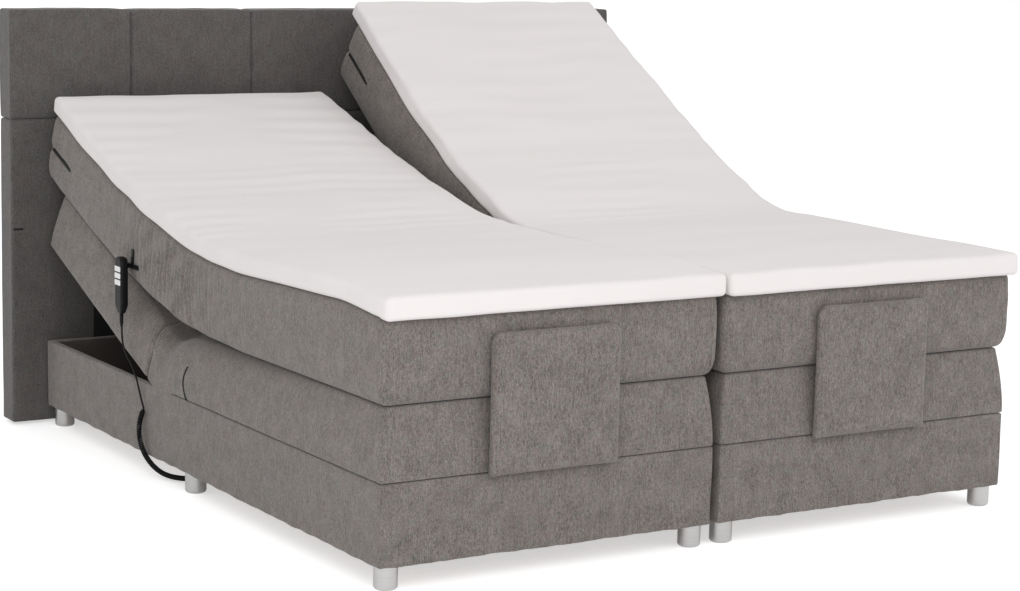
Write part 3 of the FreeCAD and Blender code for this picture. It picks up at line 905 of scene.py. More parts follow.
# Near-black tape for the real zips, also used as painted shade in the opened seams beside the thigh hinges.
ZIP_AND_SLIT_SHADE = Grained("zip_tape", (0.008, 0.008, 0.008, 1.0), 900.0, 0.5, 0.7)


class Finishes:
    """Builds each finish once and hands out its material."""

    def __init__(self) -> None:
        """Starts with nothing built."""
        self.made: dict[str, bpy.types.Material] = {}

    def get(self, finish: object) -> bpy.types.Material:
        """Gives the material of a finish.

        Args:
            finish: one of the finish dataclasses.

        Returns:
            Its material, built the first time.
        """
        if finish.name not in self.made:
            self.made[finish.name] = finish.material()
        return self.made[finish.name]

    def dress(self, obj: bpy.types.Object, slot: Slot, finish: object | None = None) -> None:
        """Gives a new piece the finish of its slot, or another finish.

        Args:
            obj: the piece.
            slot: its slot in the record.
            finish: a finish other than the slot's own.
        """
        obj.data.materials.clear()
        obj.data.materials.append(self.get(finish or FINISHES[slot]))

    def dress_frame(self) -> None:
        """Gives every CAD node the material of its slot in the record."""
        slots = {part["node"]: part["material_slot"] for part in frame["record"]["subparts"]}
        for node, obj in frame["nodes"].items():
            material = self.get(FINISHES[Slot(slots[node])])
            for holder in obj.material_slots:
                holder.material = material


# ------------------------------------------------------------------ the bending back
# Soft undulations of each unit as (place from the foot end, height) pairs: lifts for the line between
# mattress and topper, sags for the mattress's underside, and how far the topper's right-hand side
# comes in.
LEFT_LIFTS = (
    (0.0, 0.009), (0.2, 0.022), (0.73, 0.008), (0.97, 0.020), (1.23, 0.008), (1.52, 0.030), (1.8, 0.015),
    (2.0, 0.0115),
)
RIGHT_LIFTS = (
    (0.0, 0.0065), (0.78, 0.0065), (1.0, 0.012), (1.27, 0.006), (1.4, 0.033), (1.53, 0.046), (1.82, 0.020),
    (2.0, 0.0155), (2.2, 0.019),
)
LEFT_SAGS = (
    (0.75, 0.0), (0.9, 0.008), (1.02, 0.007), (1.15, -0.012), (1.3, -0.008), (1.42, 0.008), (1.55, 0.011),
    (1.85, 0.0),
)
RIGHT_SAGS = (
    (0.75, 0.0), (0.88, 0.008), (1.0, 0.0065), (1.1, 0.0), (1.28, 0.001), (1.5, 0.024), (1.8, 0.006),
    (1.9, 0.004),
)
LEFT_NARROWING = (
    (0.75, 0.0), (0.95, 0.012), (1.1, 0.030), (1.3, 0.034), (1.6, 0.036), (1.9, 0.050), (2.15, 0.072),
)
RIGHT_NARROWING = (
    (0.75, 0.0), (1.0, 0.020), (1.15, 0.030), (1.35, 0.026), (1.6, 0.020), (1.9, 0.030), (2.3, 0.075),
)


def eased(places: np.ndarray, knots: Knots) -> np.ndarray:
    """A soft curve through heights that are given at places from the foot end.

    Args:
        places: row-frame Y of each point.
        knots: (place, height) pairs, rising.

    Returns:
        One height per point.
    """
    stations = np.linspace(along(-0.2), along(2.6), 561)
    spots, heights = zip(*knots)
    raw = np.interp(stations, [along(spot) for spot in spots], heights)
    window = np.hanning(25)
    margin = len(window) // 2
    soft = np.convolve(np.pad(raw, margin, mode="edge"), window / window.sum(), mode="valid")
    return np.interp(places, stations, soft)


@dataclass(frozen=True)
class BackBend:
    """How a unit's mattress and topper bend from the seat up to the raised back.

    The stations are flat places from the foot end: the bend's start, its middle and the place from
    which the layers are straight.
    """

    side: Side
    start: float
    middle: float
    straight: float
    flat_end: float
    lifts: Knots
    sags: Knots
    narrowing: Knots
    topper_extra: float
    tallest: float = 0.70
    zone_level: float = 0.5

    def joint(self, name: str) -> dict:
        """One of this unit's joints in the frame."""
        return next(found for found in frame["joints"] if found["name"] == f"{self.side.word}_{name}")

    @property
    def angle(self) -> float:
        """The back's angle at rest, in radians."""
        return -math.radians(self.joint("back_hinge")["range_deg"][0])

    @property
    def hinge(self) -> np.ndarray:
        """A point on the back section's hinge."""
        return np.array(self.joint("back_hinge")["pos_m"])

    @property
    def lumbar(self) -> np.ndarray:
        """A point on the lower bending line."""
        return np.array(self.joint("mattress_lumbar_bend")["pos_m"])

    @property
    def upper(self) -> np.ndarray:
        """A point on the upper bending line at rest."""
        return np.array(self.joint("mattress_upper_bend")["pos_m"])

    @property
    def stations(self) -> tuple[float, float, float]:
        """The row-frame Y of the three stations."""
        return along(self.start), along(self.middle), along(self.straight)

    def lift(self, places: np.ndarray) -> np.ndarray:
        """How far the line between mattress and topper stands above its CAD height, in metres."""
        return eased(places, self.lifts)

    def sag(self, places: np.ndarray) -> np.ndarray:
        """How far the mattress's underside stands above its CAD height, in metres."""
        return eased(places, self.sags)

    def lower_zone(self) -> Zone:
        """Places the stretch that bends at the lower line.

        Returns:
            Its start and end at rest.
        """
        half = self.angle / 2
        y = self.lumbar[1] + (along(self.middle) - self.lumbar[1]) * math.cos(half)
        y -= (self.tallest - self.lumbar[2]) * math.sin(half)
        return (0.0, along(self.start), self.zone_level), (0.0, y, self.zone_level)

    def upper_zone(self) -> Zone:
        """Places the stretch that bends at the upper line.

        Returns:
            Its start and end at rest.
        """
        half = self.angle / 2
        start = turn(np.array([[0.0, along(self.middle), self.zone_level]]), self.lumbar, half)[0]
        flat_upper = turn(self.upper[None].copy(), self.lumbar, -half)[0]
        reach = flat_upper[1] + (along(self.straight) - flat_upper[1]) * math.cos(half)
        reach -= (self.tallest - flat_upper[2]) * math.sin(half)
        reach -= along(self.middle)
        end = start + np.array([0.0, math.cos(half), math.sin(half)]) * reach
        return tuple(start), tuple(end)

    def slide_zone(self) -> Zone:
        """Places the stretch that gathers as the back goes flat.

        Returns:
            Its start and end at rest.
        """
        last = along(self.flat_end) - 0.012
        start, end = self.raised(
            np.array([[0.0, along(self.straight), self.zone_level], [0.0, last, self.zone_level]])
        )
        return tuple(start), tuple(end)

    def raised(self, points: np.ndarray) -> np.ndarray:
        """Flat points carried to rest with the straight upper stretch."""
        half = self.angle / 2
        return turn(turn(points, self.lumbar, half), self.upper, half)

    @staticmethod
    def weight(points: np.ndarray, zone: Zone) -> np.ndarray:
        """Works out a blend's share as the frame's blend does.

        Args:
            points: places at rest.
            zone: the blend's start and end.

        Returns:
            One share per point, from 0 to 1.
        """
        start, end = np.array(zone[0]), np.array(zone[1])
        run = end - start
        return smooth_step((points - start) @ run / (run @ run))

    def settle(self, flat: np.ndarray, centre: np.ndarray, zone: Zone) -> np.ndarray:
        """Finds where flat points come to rest when the blend reads its share at rest.

        Args:
            flat: the points before this bend.
            centre: the bending line.
            zone: the blend's start and end at rest.

        Returns:
            The points at rest.
        """
        moved = flat.copy()
        for _ in range(SETTLE_ROUNDS):
            moved = turn(flat, centre, self.weight(moved, zone) * self.angle / 2)
        return moved

    def rest(self, flat: np.ndarray, places: np.ndarray) -> np.ndarray:
        """Carries a whole flat layer to its shape at rest.

        Args:
            flat: the flat layer's points.
            places: the flat Y that decides which stretch a point belongs to.

        Returns:
            The points at rest.
        """
        first, second, third = (station + 1e-6 for station in self.stations)
        result = flat.copy()
        lower = (places > first) & (places <= second)
        result[lower] = self.settle(flat[lower], self.lumbar, self.lower_zone())
        upper = (places > second) & (places <= third)
        lifted = turn(flat[upper], self.lumbar, self.angle / 2)
        result[upper] = self.settle(lifted, self.upper, self.upper_zone())
        straight = places > third
        result[straight] = self.raised(flat[straight])
        return result


@dataclass
class Layer:
    """Shared making of the mattress and the topper: one long soft block, bent and cut into stretches."""

    side: Side
    bend: BackBend
    finishes: Finishes

    knee_start: float = 0.62
    knee_end: float = 0.40

    def stretches(self, block: bpy.types.Object, name: str) -> list[bpy.types.Object]:
        """Bends a flat block to rest and cuts it where the bodies change.

        Args:
            block: the flat block, shaped and with rows at every station.
            name: what the stretches are called.

        Returns:
            The stretches from the foot end to the head end.
        """
        flat = cloth_places(block)[:, 1]
        place_vertices(block, self.bend.rest(coordinates(block), flat))
        first, second, third = self.bend.stations
        word = self.side.word
        names = [f"{word}_{name}_{part}" for part in ("legs", "thigh", "lumbar", "shoulder", "head")]
        shade_soft(block)
        pieces = split_at(block, (along(self.knee_start), first, second, third), names)
        calf = ((0.0, along(self.knee_start), 0.5), (0.0, along(self.knee_end), 0.5))
        thigh = ((0.0, along(self.bend.start), 0.5), (0.0, along(self.knee_start), 0.5))
        plan = (
            (f"{word}_thigh", f"{word}_calf", calf),
            ("root", f"{word}_thigh", thigh),
            ("root", f"{word}_lumbar", self.bend.lower_zone()),
            (f"{word}_lumbar", f"{word}_upper", self.bend.upper_zone()),
            (f"{word}_upper", f"{word}_mattress_head", self.bend.slide_zone()),
        )
        for piece, (from_body, to_body, zone) in zip(pieces, plan):
            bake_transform(piece)
        return pieces

    def cuts(self) -> tuple[float, ...]:
        """The flat rows that the stretches are cut at."""
        return (along(self.knee_start), *self.bend.stations)


@dataclass
class Mattress(Layer):
    """The sprung mattress of one unit, in its woven cover with a side zip near the head end."""

    outer: float = HALF_WIDTH
    radius: float = 0.015
    crown: float = 0.0035
    ripple_depth: float = 0.0030
    ripple_length: float = 0.025
    press_place: float = 1.16
    pinch_depth: float = 0.006
    tuck_height: float = 0.045
    tuck_depth: float = 0.010

    def shape(self, block: bpy.types.Object) -> None:
        """Crowns the border, ripples the cover where it is pressed together and pinches the zip seam.

        Args:
            block: the flat mattress.
        """
        centre = self.side.centre
        middle = (MATTRESS_BOTTOM + MATTRESS_TOP) / 2
        half = (MATTRESS_TOP - MATTRESS_BOTTOM) / 2
        head_end = along(self.bend.flat_end)

        def depth(points: np.ndarray, outward: np.ndarray) -> np.ndarray:
            """Shapes the border.

            Args:
                points: places in metres.
                outward: their normals.

            Returns:
                Metres along each normal.
            """
            side = np.clip(np.hypot(outward[:, 0], outward[:, 1]), 0, 1) ** 2
            level = (points[:, 2] - middle) / half
            crown = self.crown * (1 - level**2) * side
            press = bump_at(points[:, 1], along(self.press_place), 0.30) * np.abs(outward[:, 0]) ** 2
            wobble = swell(points, 11, 0.08, (0, 1, 0.9)) * 2.0
            folds = np.sin(2 * math.pi * (points[:, 1] / self.ripple_length) + wobble)
            folds *= smooth_step((swell(points, 5, 0.10, (0, 1, 1.2)) + 0.8) / 1.4)
            ripple = self.ripple_depth * folds * press
            loose = 0.0011 * swell(points, 3 + self.side.value, 0.22) * side
            fine = 0.0004 * swell(points, 8, 0.06) * side
            pinch = bump_at(points[:, 2], middle, 0.010) * smooth_step((points[:, 1] - head_end + 0.18) / 0.05)
            return crown + ripple + loose + fine - self.pinch_depth * pinch * side

        push_along_normals(block, depth)
        points = coordinates(block)
        tuck = np.clip((MATTRESS_BOTTOM + self.tuck_height - points[:, 2]) / self.tuck_height, 0, 1) ** 2
        at_side = np.abs(points[:, 0] - centre) > 0.40
        points[:, 0] -= np.sign(points[:, 0] - centre) * self.tuck_depth * tuck * at_side
        points[:, 1] += self.tuck_depth * tuck * (points[:, 1] < along(0.05))
        share = np.clip((points[:, 2] - MATTRESS_BOTTOM) / (MATTRESS_TOP - MATTRESS_BOTTOM), 0, 1)
        lift, sag = self.bend.lift(points[:, 1]), self.bend.sag(points[:, 1])
        points[:, 2] += share * lift + (1 - share) * sag
        place_vertices(block, points)

    def zip_strip(self, outer_x: float) -> bpy.types.Object:
        """The short black zip in the border near the head end.

        Args:
            outer_x: the X of the border that the zip lies on.

        Returns:
            The zip, bent to rest with the mattress.
        """
        sign = -1 if outer_x < self.side.centre else 1
        end = along(self.bend.flat_end)
        low = (outer_x - 0.0035, end - 0.165, 0.5060)
        high = (outer_x + 0.0035, end - 0.022, 0.5150)
        name = f"{self.side.word}_mattress_zip_{'outer' if sign == self.side.value else 'inner'}"
        strip = SoftBlock(name, low, high, 0.0012, (1, 24, 1), segments=2).build()
        points = coordinates(strip)
        points[:, 0] -= sign * 0.0010
        points[:, 2] += (self.bend.lift(points[:, 1]) + self.bend.sag(points[:, 1])) / 2
        place_vertices(strip, self.bend.rest(points, cloth_places(strip)[:, 1]))
        zone = self.bend.slide_zone()
        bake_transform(strip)
        self.finishes.dress(strip, Slot.MATTRESS, ZIP_AND_SLIT_SHADE)
        return strip

    def corner_seam(self, sign: int) -> bpy.types.Object:
        """Lays the upright seam beside a foot corner.

        Args:
            sign: -1 for the left corner of the unit, 1 for the right one.

        Returns:
            The seam, riding with the calf section.
        """
        deselect_all()
        x = self.side.centre + sign * (self.outer - 0.016)
        height = MATTRESS_TOP - MATTRESS_BOTTOM - 0.050
        bpy.ops.mesh.primitive_cylinder_add(
            vertices=10, radius=0.0016, depth=height,
            location=(x, along(0.0005), (MATTRESS_TOP + MATTRESS_BOTTOM) / 2),
        )
        seam = bpy.context.active_object
        seam.name = f"{self.side.word}_mattress_corner_seam_{'left' if sign < 0 else 'right'}"
        bpy.ops.object.transform_apply(location=True, rotation=True, scale=True)
        bpy.ops.object.mode_set(mode="EDIT")
        divide(seam, 2, height * 0.8, 15)
        bpy.ops.object.mode_set(mode="OBJECT")
        points = coordinates(seam)
        store_cloth(seam, points)
        level = (points[:, 2] - (MATTRESS_TOP + MATTRESS_BOTTOM) / 2) / (height / 2)
        points[:, 1] -= 0.0036 * (1 - 0.75 * level**2)
        place_vertices(seam, points)
        shade_soft(seam)
        self.finishes.dress(seam, Slot.MATTRESS)
        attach(seam, f"{self.side.word}_calf")
        return seam

    def build(self) -> None:
        """Makes the mattress and its trim."""
        centre, word = self.side.centre, self.side.word
        block = SoftBlock(
            f"{word}_mattress", (centre - self.outer, along(0.0), MATTRESS_BOTTOM),
            (centre + self.outer, along(self.bend.flat_end), MATTRESS_TOP), self.radius,
            (26, 430, 15), cuts=self.cuts(),
        ).build()
        self.shape(block)
        pieces = self.stretches(block, "mattress")
        for piece in pieces:
            self.finishes.dress(piece, Slot.MATTRESS)
        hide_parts(f"{word}_mattress_calf")
        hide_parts(f"{word}_mattress_thigh")
        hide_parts(f"{word}_mattress_middle")
        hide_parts(f"{word}_mattress_head")
        for edge in (-1, 1):
            self.zip_strip(centre + edge * self.outer)
            self.corner_seam(edge)
        LOG.info("%s mattress in %d stretches", word, len(pieces))


@dataclass
class Topper(Layer):
    """The soft foam topper in its pale knitted cover, hanging a little over the mattress."""

    foot: float = -0.028
    outer: float = 0.456
    inner: float = 0.455
    radius: float = 0.014
    ripple_depth: float = 0.0018
    ripple_length: float = 0.085
    droop: float = 0.0035

    def shape(self, block: bpy.types.Object) -> None:
        """Softens the border, waves its lower edge and lays faint ripples across the top.

        Args:
            block: the flat topper.
        """

        def depth(points: np.ndarray, outward: np.ndarray) -> np.ndarray:
            """Shapes the border and the top.

            Args:
                points: places in metres.
                outward: their normals.

            Returns:
                Metres along each normal.
            """
            side = np.clip(np.hypot(outward[:, 0], outward[:, 1]), 0, 1)
            top = np.clip(outward[:, 2], 0, 1)
            border = 0.0016 * swell(points, 21 + self.side.value, 0.16) * side
            wobble = swell(points, 31 + self.side.value, 0.6, (1, 1, 0)) * 1.2
            ripple = np.sin(2 * math.pi * points[:, 1] / self.ripple_length + wobble)
            back = smooth_step((points[:, 1] - along(0.75)) / 0.3)
            ripple *= self.ripple_depth * back * smooth_step((swell(points, 41, 0.5) + 0.8) / 1.4)
            return border + top * (ripple + 0.0012 * swell(points, 51 + self.side.value, 0.34))

        push_along_normals(block, depth)
        points = coordinates(block)
        centre = self.side.centre
        across = np.abs(points[:, 0] - centre) / self.outer
        edge = np.clip((across - 0.80) / 0.20, 0, 1) ** 2
        foot = np.clip((along(0.09) - points[:, 1]) / 0.12, 0, 1) ** 2
        head = np.clip((points[:, 1] - along(self.bend.flat_end) + 0.10) / 0.12, 0, 1) ** 2
        droop = np.maximum(np.maximum(edge, foot), head)
        upper = np.clip((points[:, 2] - TOPPER_BOTTOM) / (TOPPER_TOP - TOPPER_BOTTOM), 0, 1)
        points[:, 2] -= self.droop * droop * upper
        right_hand = points[:, 0] > centre
        points[:, 0] -= eased(points[:, 1], self.bend.narrowing) * right_hand * across
        points[:, 2] -= 0.0045 * (foot > 0.45) * smooth_step(foot) * (1 - upper)
        lift = self.bend.lift(points[:, 1])
        points[:, 2] += lift - upper * self.bend.lifts[0][1]
        place_vertices(block, points)

    def build(self) -> None:
        """Makes the topper."""
        centre, word = self.side.centre, self.side.word
        left, right = (self.outer, self.inner) if self.side is Side.LEFT else (self.inner, self.outer)
        head_end = along(self.bend.flat_end + self.bend.topper_extra)
        block = SoftBlock(
            f"{word}_topper", (centre - left, along(self.foot), TOPPER_BOTTOM),
            (centre + right, head_end, TOPPER_TOP), self.radius, (64, 230, 4), segments=5, cuts=self.cuts(),
        ).build()
        self.shape(block)
        pieces = self.stretches(block, "topper")
        for piece in pieces:
            self.finishes.dress(piece, Slot.TOPPER)
        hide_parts(f"{word}_topper_foot")
        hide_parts(f"{word}_topper_middle")
        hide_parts(f"{word}_topper_head")
        LOG.info("%s topper in %d stretches", word, len(pieces))


# ------------------------------------------------------------------ the boxspring's own covers
@dataclass
class SpringSections:
    """The upholstered sections between base and mattress: calf, thigh, seat and back."""

    side: Side
    bend: BackBend
    finishes: Finishes

    knee_seam: float = 0.80
    thigh_hinge: float = 1.030
    back_start: float = 1.263
    rim: float = 0.046
    top_inset: float = 0.017
    side_tuck: float = 0.034
    valley_place: float = 1.20
    valley_depth: float = 0.020
    slit_place: float = 1.034
    slit_low: float = 0.248
    slit_high: float = 0.332

    def inward(self, level: np.ndarray, tuck: np.ndarray | float = 1.0) -> np.ndarray:
        """How far a side stands in at a height, as a share of the cover's own height."""
        return self.top_inset * level**1.4 + self.side_tuck * tuck * level**4

    def soften(self, block: bpy.types.Object, foot: bool = False, head: bool = False) -> None:
        """Rounds the cover in towards the top, as tight upholstery over foam does.

        Args:
            block: the flat section.
            foot: whether its foot end is an outer end.
            head: whether its head end is an outer end.
        """
        centre = self.side.centre

        def depth(points: np.ndarray, outward: np.ndarray) -> np.ndarray:
            """Shapes the sides.

            Args:
                points: places in metres.
                outward: their normals.

            Returns:
                Metres along each normal.
            """
            side = np.clip(np.hypot(outward[:, 0], outward[:, 1]), 0, 1) ** 2
            level = (points[:, 2] - PAD_BOTTOM) / (PAD_TOP - PAD_BOTTOM)
            edge = np.abs(points[:, 0] - centre) > HALF_WIDTH - 0.03
            crown = 0.0028 * (1 - (2 * level - 0.9) ** 2) * edge
            fold = 0.005 * bump_at(points[:, 1], along(self.back_start), 0.006) * edge
            return side * (crown + 0.0009 * swell(points, 61 + self.side.value, 0.2) * edge - fold)

        push_along_normals(block, depth)
        points = coordinates(block)
        level = np.clip((points[:, 2] - PAD_BOTTOM) / (PAD_TOP - PAD_BOTTOM), 0, 1)
        outer = smooth_step((np.abs(points[:, 0] - centre) - (HALF_WIDTH - 0.12)) / 0.10)
        place = points[:, 1] - FOOT_END
        tuck = smooth_step(place / 1.05) * smooth_step((1.75 - place) / 0.45)
        points[:, 0] -= np.sign(points[:, 0] - centre) * self.inward(level, tuck) * outer
        valley = bump_at(place, self.valley_place, 0.13)
        points[:, 2] -= level**3 * (0.012 * tuck * outer + self.valley_depth * valley)
        if foot:
            points[:, 1] += self.top_inset * level**1.4 * (points[:, 1] < along(0.03))
        if head:
            points[:, 1] -= 0.014 * level**1.4 * (points[:, 1] > along(UNIT_LENGTH - 0.03))
        place_vertices(block, points)

    def finish(self, cover: bpy.types.Object, *nodes: str) -> None:
        """Dresses a section cover and hides its CAD nodes.

        Args:
            cover: the cover.
            *nodes: the CAD nodes that it stands for.
        """
        self.finishes.dress(cover, Slot.BASE)
        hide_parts(*nodes)

    def front_block(self) -> bpy.types.Object:
        """The flat cover from the foot end to the back's hinge, with a recess under each section.

        Returns:
            The block, with rows where the sections meet.
        """
        centre, middle = self.side.centre, (PAD_BOTTOM + PAD_TOP) / 2
        length, height = self.back_start - 0.001, PAD_TOP - PAD_BOTTOM
        deselect_all()
        bpy.ops.mesh.primitive_cube_add(size=1.0, location=(centre, along(length / 2), middle))
        block = bpy.context.active_object
        block.name = f"{self.side.word}_front_covers"
        block.scale = (HALF_WIDTH * 2, length, height)
        bpy.ops.object.transform_apply(location=True, rotation=True, scale=True)
        bpy.ops.object.mode_set(mode="EDIT")
        for place in (self.knee_seam, self.thigh_hinge):
            cut_rows((0, along(place), 0), (0, 1, 0))
        sections = ((0.0, self.knee_seam, 0.037, 70), (self.knee_seam, self.thigh_hinge, 0.037, 30))
        sections += ((self.thigh_hinge, length, 0.098, 46),)
        for start, end, depth, _ in sections:
            low, high = along(start), along(end)
            pick_faces(block, lambda face: face.normal.z < -0.9 and low < face.calc_center_median().y < high)
            bpy.ops.mesh.inset(thickness=self.rim)
            bpy.ops.mesh.extrude_region_move(TRANSFORM_OT_translate={"value": (0, 0, depth)})
        bpy.ops.mesh.select_mode(type="EDGE")
        bpy.ops.mesh.select_all(action="DESELECT")
        bpy.ops.mesh.edges_select_sharp(sharpness=SHARP)
        bpy.ops.mesh.bevel(offset=0.0055, segments=3, affect="EDGES", clamp_overlap=True)
        for start, end, _, rows in sections:
            divide(block, 1, 0.12, rows, (along(start), along(end)))
        for axis, shortest, rows in ((0, 0.5, 24), (2, height * 0.7, 14)):
            divide(block, axis, shortest, rows)
        bpy.ops.object.mode_set(mode="OBJECT")
        store_cloth(block, coordinates(block))
        return block

    def front(self) -> None:
        """The calf, thigh and seat covers, cut from one piece so that their seams stay shut."""
        word, hinge = self.side.word, self.bend.hinge
        block = self.front_block()
        self.soften(block, foot=True)
        points = coordinates(block)
        share = np.clip((points[:, 1] - along(1.10)) / (self.back_start - 1.10), 0, 1)
        points[:, 1] += share * np.clip(points[:, 2] - hinge[2], 0, None) * MITRE
        seat_zone = ((0.0, along(1.10), 0.3), (0.0, along(1.236), 0.3))
        settled = points.copy()
        for _ in range(SETTLE_ROUNDS):
            settled = turn(points, hinge, BackBend.weight(settled, seat_zone) * self.bend.angle)
        place_vertices(block, settled)
        shade_soft(block)
        names = (f"{word}_calf_cover", f"{word}_thigh_cover", f"{word}_seat_cover")
        calf, thigh, seat = split_at(block, (along(self.knee_seam), along(self.thigh_hinge)), names)
        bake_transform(calf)
        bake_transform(thigh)
        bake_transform(seat)
        self.finish(calf, f"{word}_calf_pad")
        self.finish(thigh, f"{word}_thigh_pad")
        self.finish(seat, f"{word}_seat_pad")

    def back(self) -> None:
        """The back section's cover, mitred above its hinge and raised to its rest angle."""
        word, hinge = self.side.word, self.bend.hinge
        centre = self.side.centre
        back = SoftBlock(
            f"{word}_back_cover", (centre - HALF_WIDTH, along(self.back_start), PAD_BOTTOM),
            (centre + HALF_WIDTH, along(UNIT_LENGTH), PAD_TOP), 0.006, (24, 90, 14), segments=3,
            hollow=0.037, hollow_rim=self.rim,
        ).build()
        self.soften(back, head=True)
        points = coordinates(back)
        share = np.clip((along(1.60) - points[:, 1]) / (1.60 - self.back_start), 0, 1)
        points[:, 1] += share * np.clip(points[:, 2] - hinge[2], 0, None) * MITRE
        place_vertices(back, turn(points, hinge, self.bend.angle))
        shade_soft(back)
        self.finish(back, f"{word}_back_pad")
        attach(back, f"{word}_back")

    def slit(self, sign: int) -> None:
        """A near-black strip on the side cover beside the thigh hinge: painted shade for the dark gap of a short
        opened seam.

        Args:
            sign: -1 for the unit's left side, 1 for its right side.
        """
        thickness, width = 0.006, 0.004
        x = self.side.centre + sign * (HALF_WIDTH + 0.0015)
        seam = SoftBlock(
            f"{self.side.word}_hinge_slit_{'left' if sign < 0 else 'right'}",
            (x - thickness / 2, along(self.slit_place), self.slit_low),
            (x + thickness / 2, along(self.slit_place + width), self.slit_high),
            0.0012, (1, 1, 16), segments=2,
        ).build()
        points = coordinates(seam)
        level = (points[:, 2] - self.slit_low) / (self.slit_high - self.slit_low)
        points[:, 1] += 0.020 * np.sin(math.pi * np.clip(level, 0, 1)) - 0.010 * (1 - level)
        height = np.clip((points[:, 2] - PAD_BOTTOM) / (PAD_TOP - PAD_BOTTOM), 0, 1)
        points[:, 0] -= sign * self.inward(height)
        place_vertices(seam, points)
        shade_soft(seam)
        # Painted shade: the strip takes the near-black zip finish to stand in for the shadow inside the opened
        # seam.
        self.finishes.dress(seam, Slot.BASE, ZIP_AND_SLIT_SHADE)
        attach(seam, "root")

    def stop_panel(self) -> None:
        """The padded panel at the foot end that keeps the mattress in place."""
        word, corner_radius, edge_radius = self.side.word, 0.034, 0.0055
        low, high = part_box(f"{word}_mattress_stop")
        low += Vector((-0.013, 0.0, -0.016))
        high += Vector((-0.005, 0.0, -0.004))
        deselect_all()
        bpy.ops.mesh.primitive_cube_add(size=1.0, location=(low + high) / 2)
        panel = bpy.context.active_object
        panel.name = f"{word}_stop_cover"
        panel.scale = high - low - Vector((0.006, 0.004, 0.006))
        bpy.ops.object.transform_apply(location=True, rotation=True, scale=True)
        bpy.ops.object.mode_set(mode="EDIT")
        bpy.ops.mesh.select_mode(type="EDGE")
        top = high.z - 0.01
        mesh = bmesh.from_edit_mesh(panel.data)
        for face in mesh.faces:
            face.select = False
        for edge in mesh.edges:
            reach = edge.verts[1].co - edge.verts[0].co
            edge.select = abs(reach.y) > 0.9 * reach.length and edge.verts[0].co.z > top
        bmesh.update_edit_mesh(panel.data)
        bpy.ops.mesh.bevel(offset=corner_radius, segments=8, affect="EDGES")
        bpy.ops.object.mode_set(mode="OBJECT")
        round_edges(panel, edge_radius, 4)
        remesh = panel.modifiers.new("even_mesh", "REMESH")
        remesh.mode = "VOXEL"
        remesh.voxel_size = 0.0045
        apply_modifiers(panel)
        inflate(panel, pressure=3.0, cap=0.0045)
        smooth = panel.modifiers.new("smooth", "SMOOTH")
        smooth.iterations = 3
        apply_modifiers(panel)
        store_cloth(panel, coordinates(panel))
        shade_soft(panel, 80)
        self.finishes.dress(panel, Slot.BASE)
        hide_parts(f"{word}_mattress_stop")
        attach(panel, f"{word}_calf")

    def build(self) -> None:
        """Makes every section cover of the unit."""
        self.front()
        self.back()
        for edge in (-1, 1):
            self.slit(edge)
        self.stop_panel()
        LOG.info("%s section covers", self.side.word)


def inflate(obj: bpy.types.Object, pressure: float, cap: float, frames: int = 20) -> None:
    """Lets a closed cover swell like filled cloth and keeps each vertex within a small move.

    Args:
        obj: the closed mesh.
        pressure: the filling's pressure.
        cap: the furthest that a vertex may move, in metres.
        frames: how long the cloth settles.
    """
    before = coordinates(obj)
    activate(obj)
    cloth = obj.modifiers.new("filling", "CLOTH")
    settings = cloth.settings
    settings.quality = 4
    settings.use_pressure = True
    settings.uniform_pressure_force = pressure
    settings.effector_weights.gravity = 0.0
    settings.tension_stiffness = 25.0
    settings.compression_stiffness = 25.0
    settings.bending_stiffness = 1.0
    cloth.point_cache.frame_start = 1
    cloth.point_cache.frame_end = frames
    for number in range(1, frames + 1):
        bpy.context.scene.frame_set(number)
    bpy.ops.object.modifier_apply(modifier=cloth.name)
    bpy.context.scene.frame_set(1)
    moved = coordinates(obj) - before
    length = np.linalg.norm(moved, axis=1)
    share = np.minimum(1.0, cap / np.maximum(length, 1e-9))
    place_vertices(obj, before + moved * share[:, None])


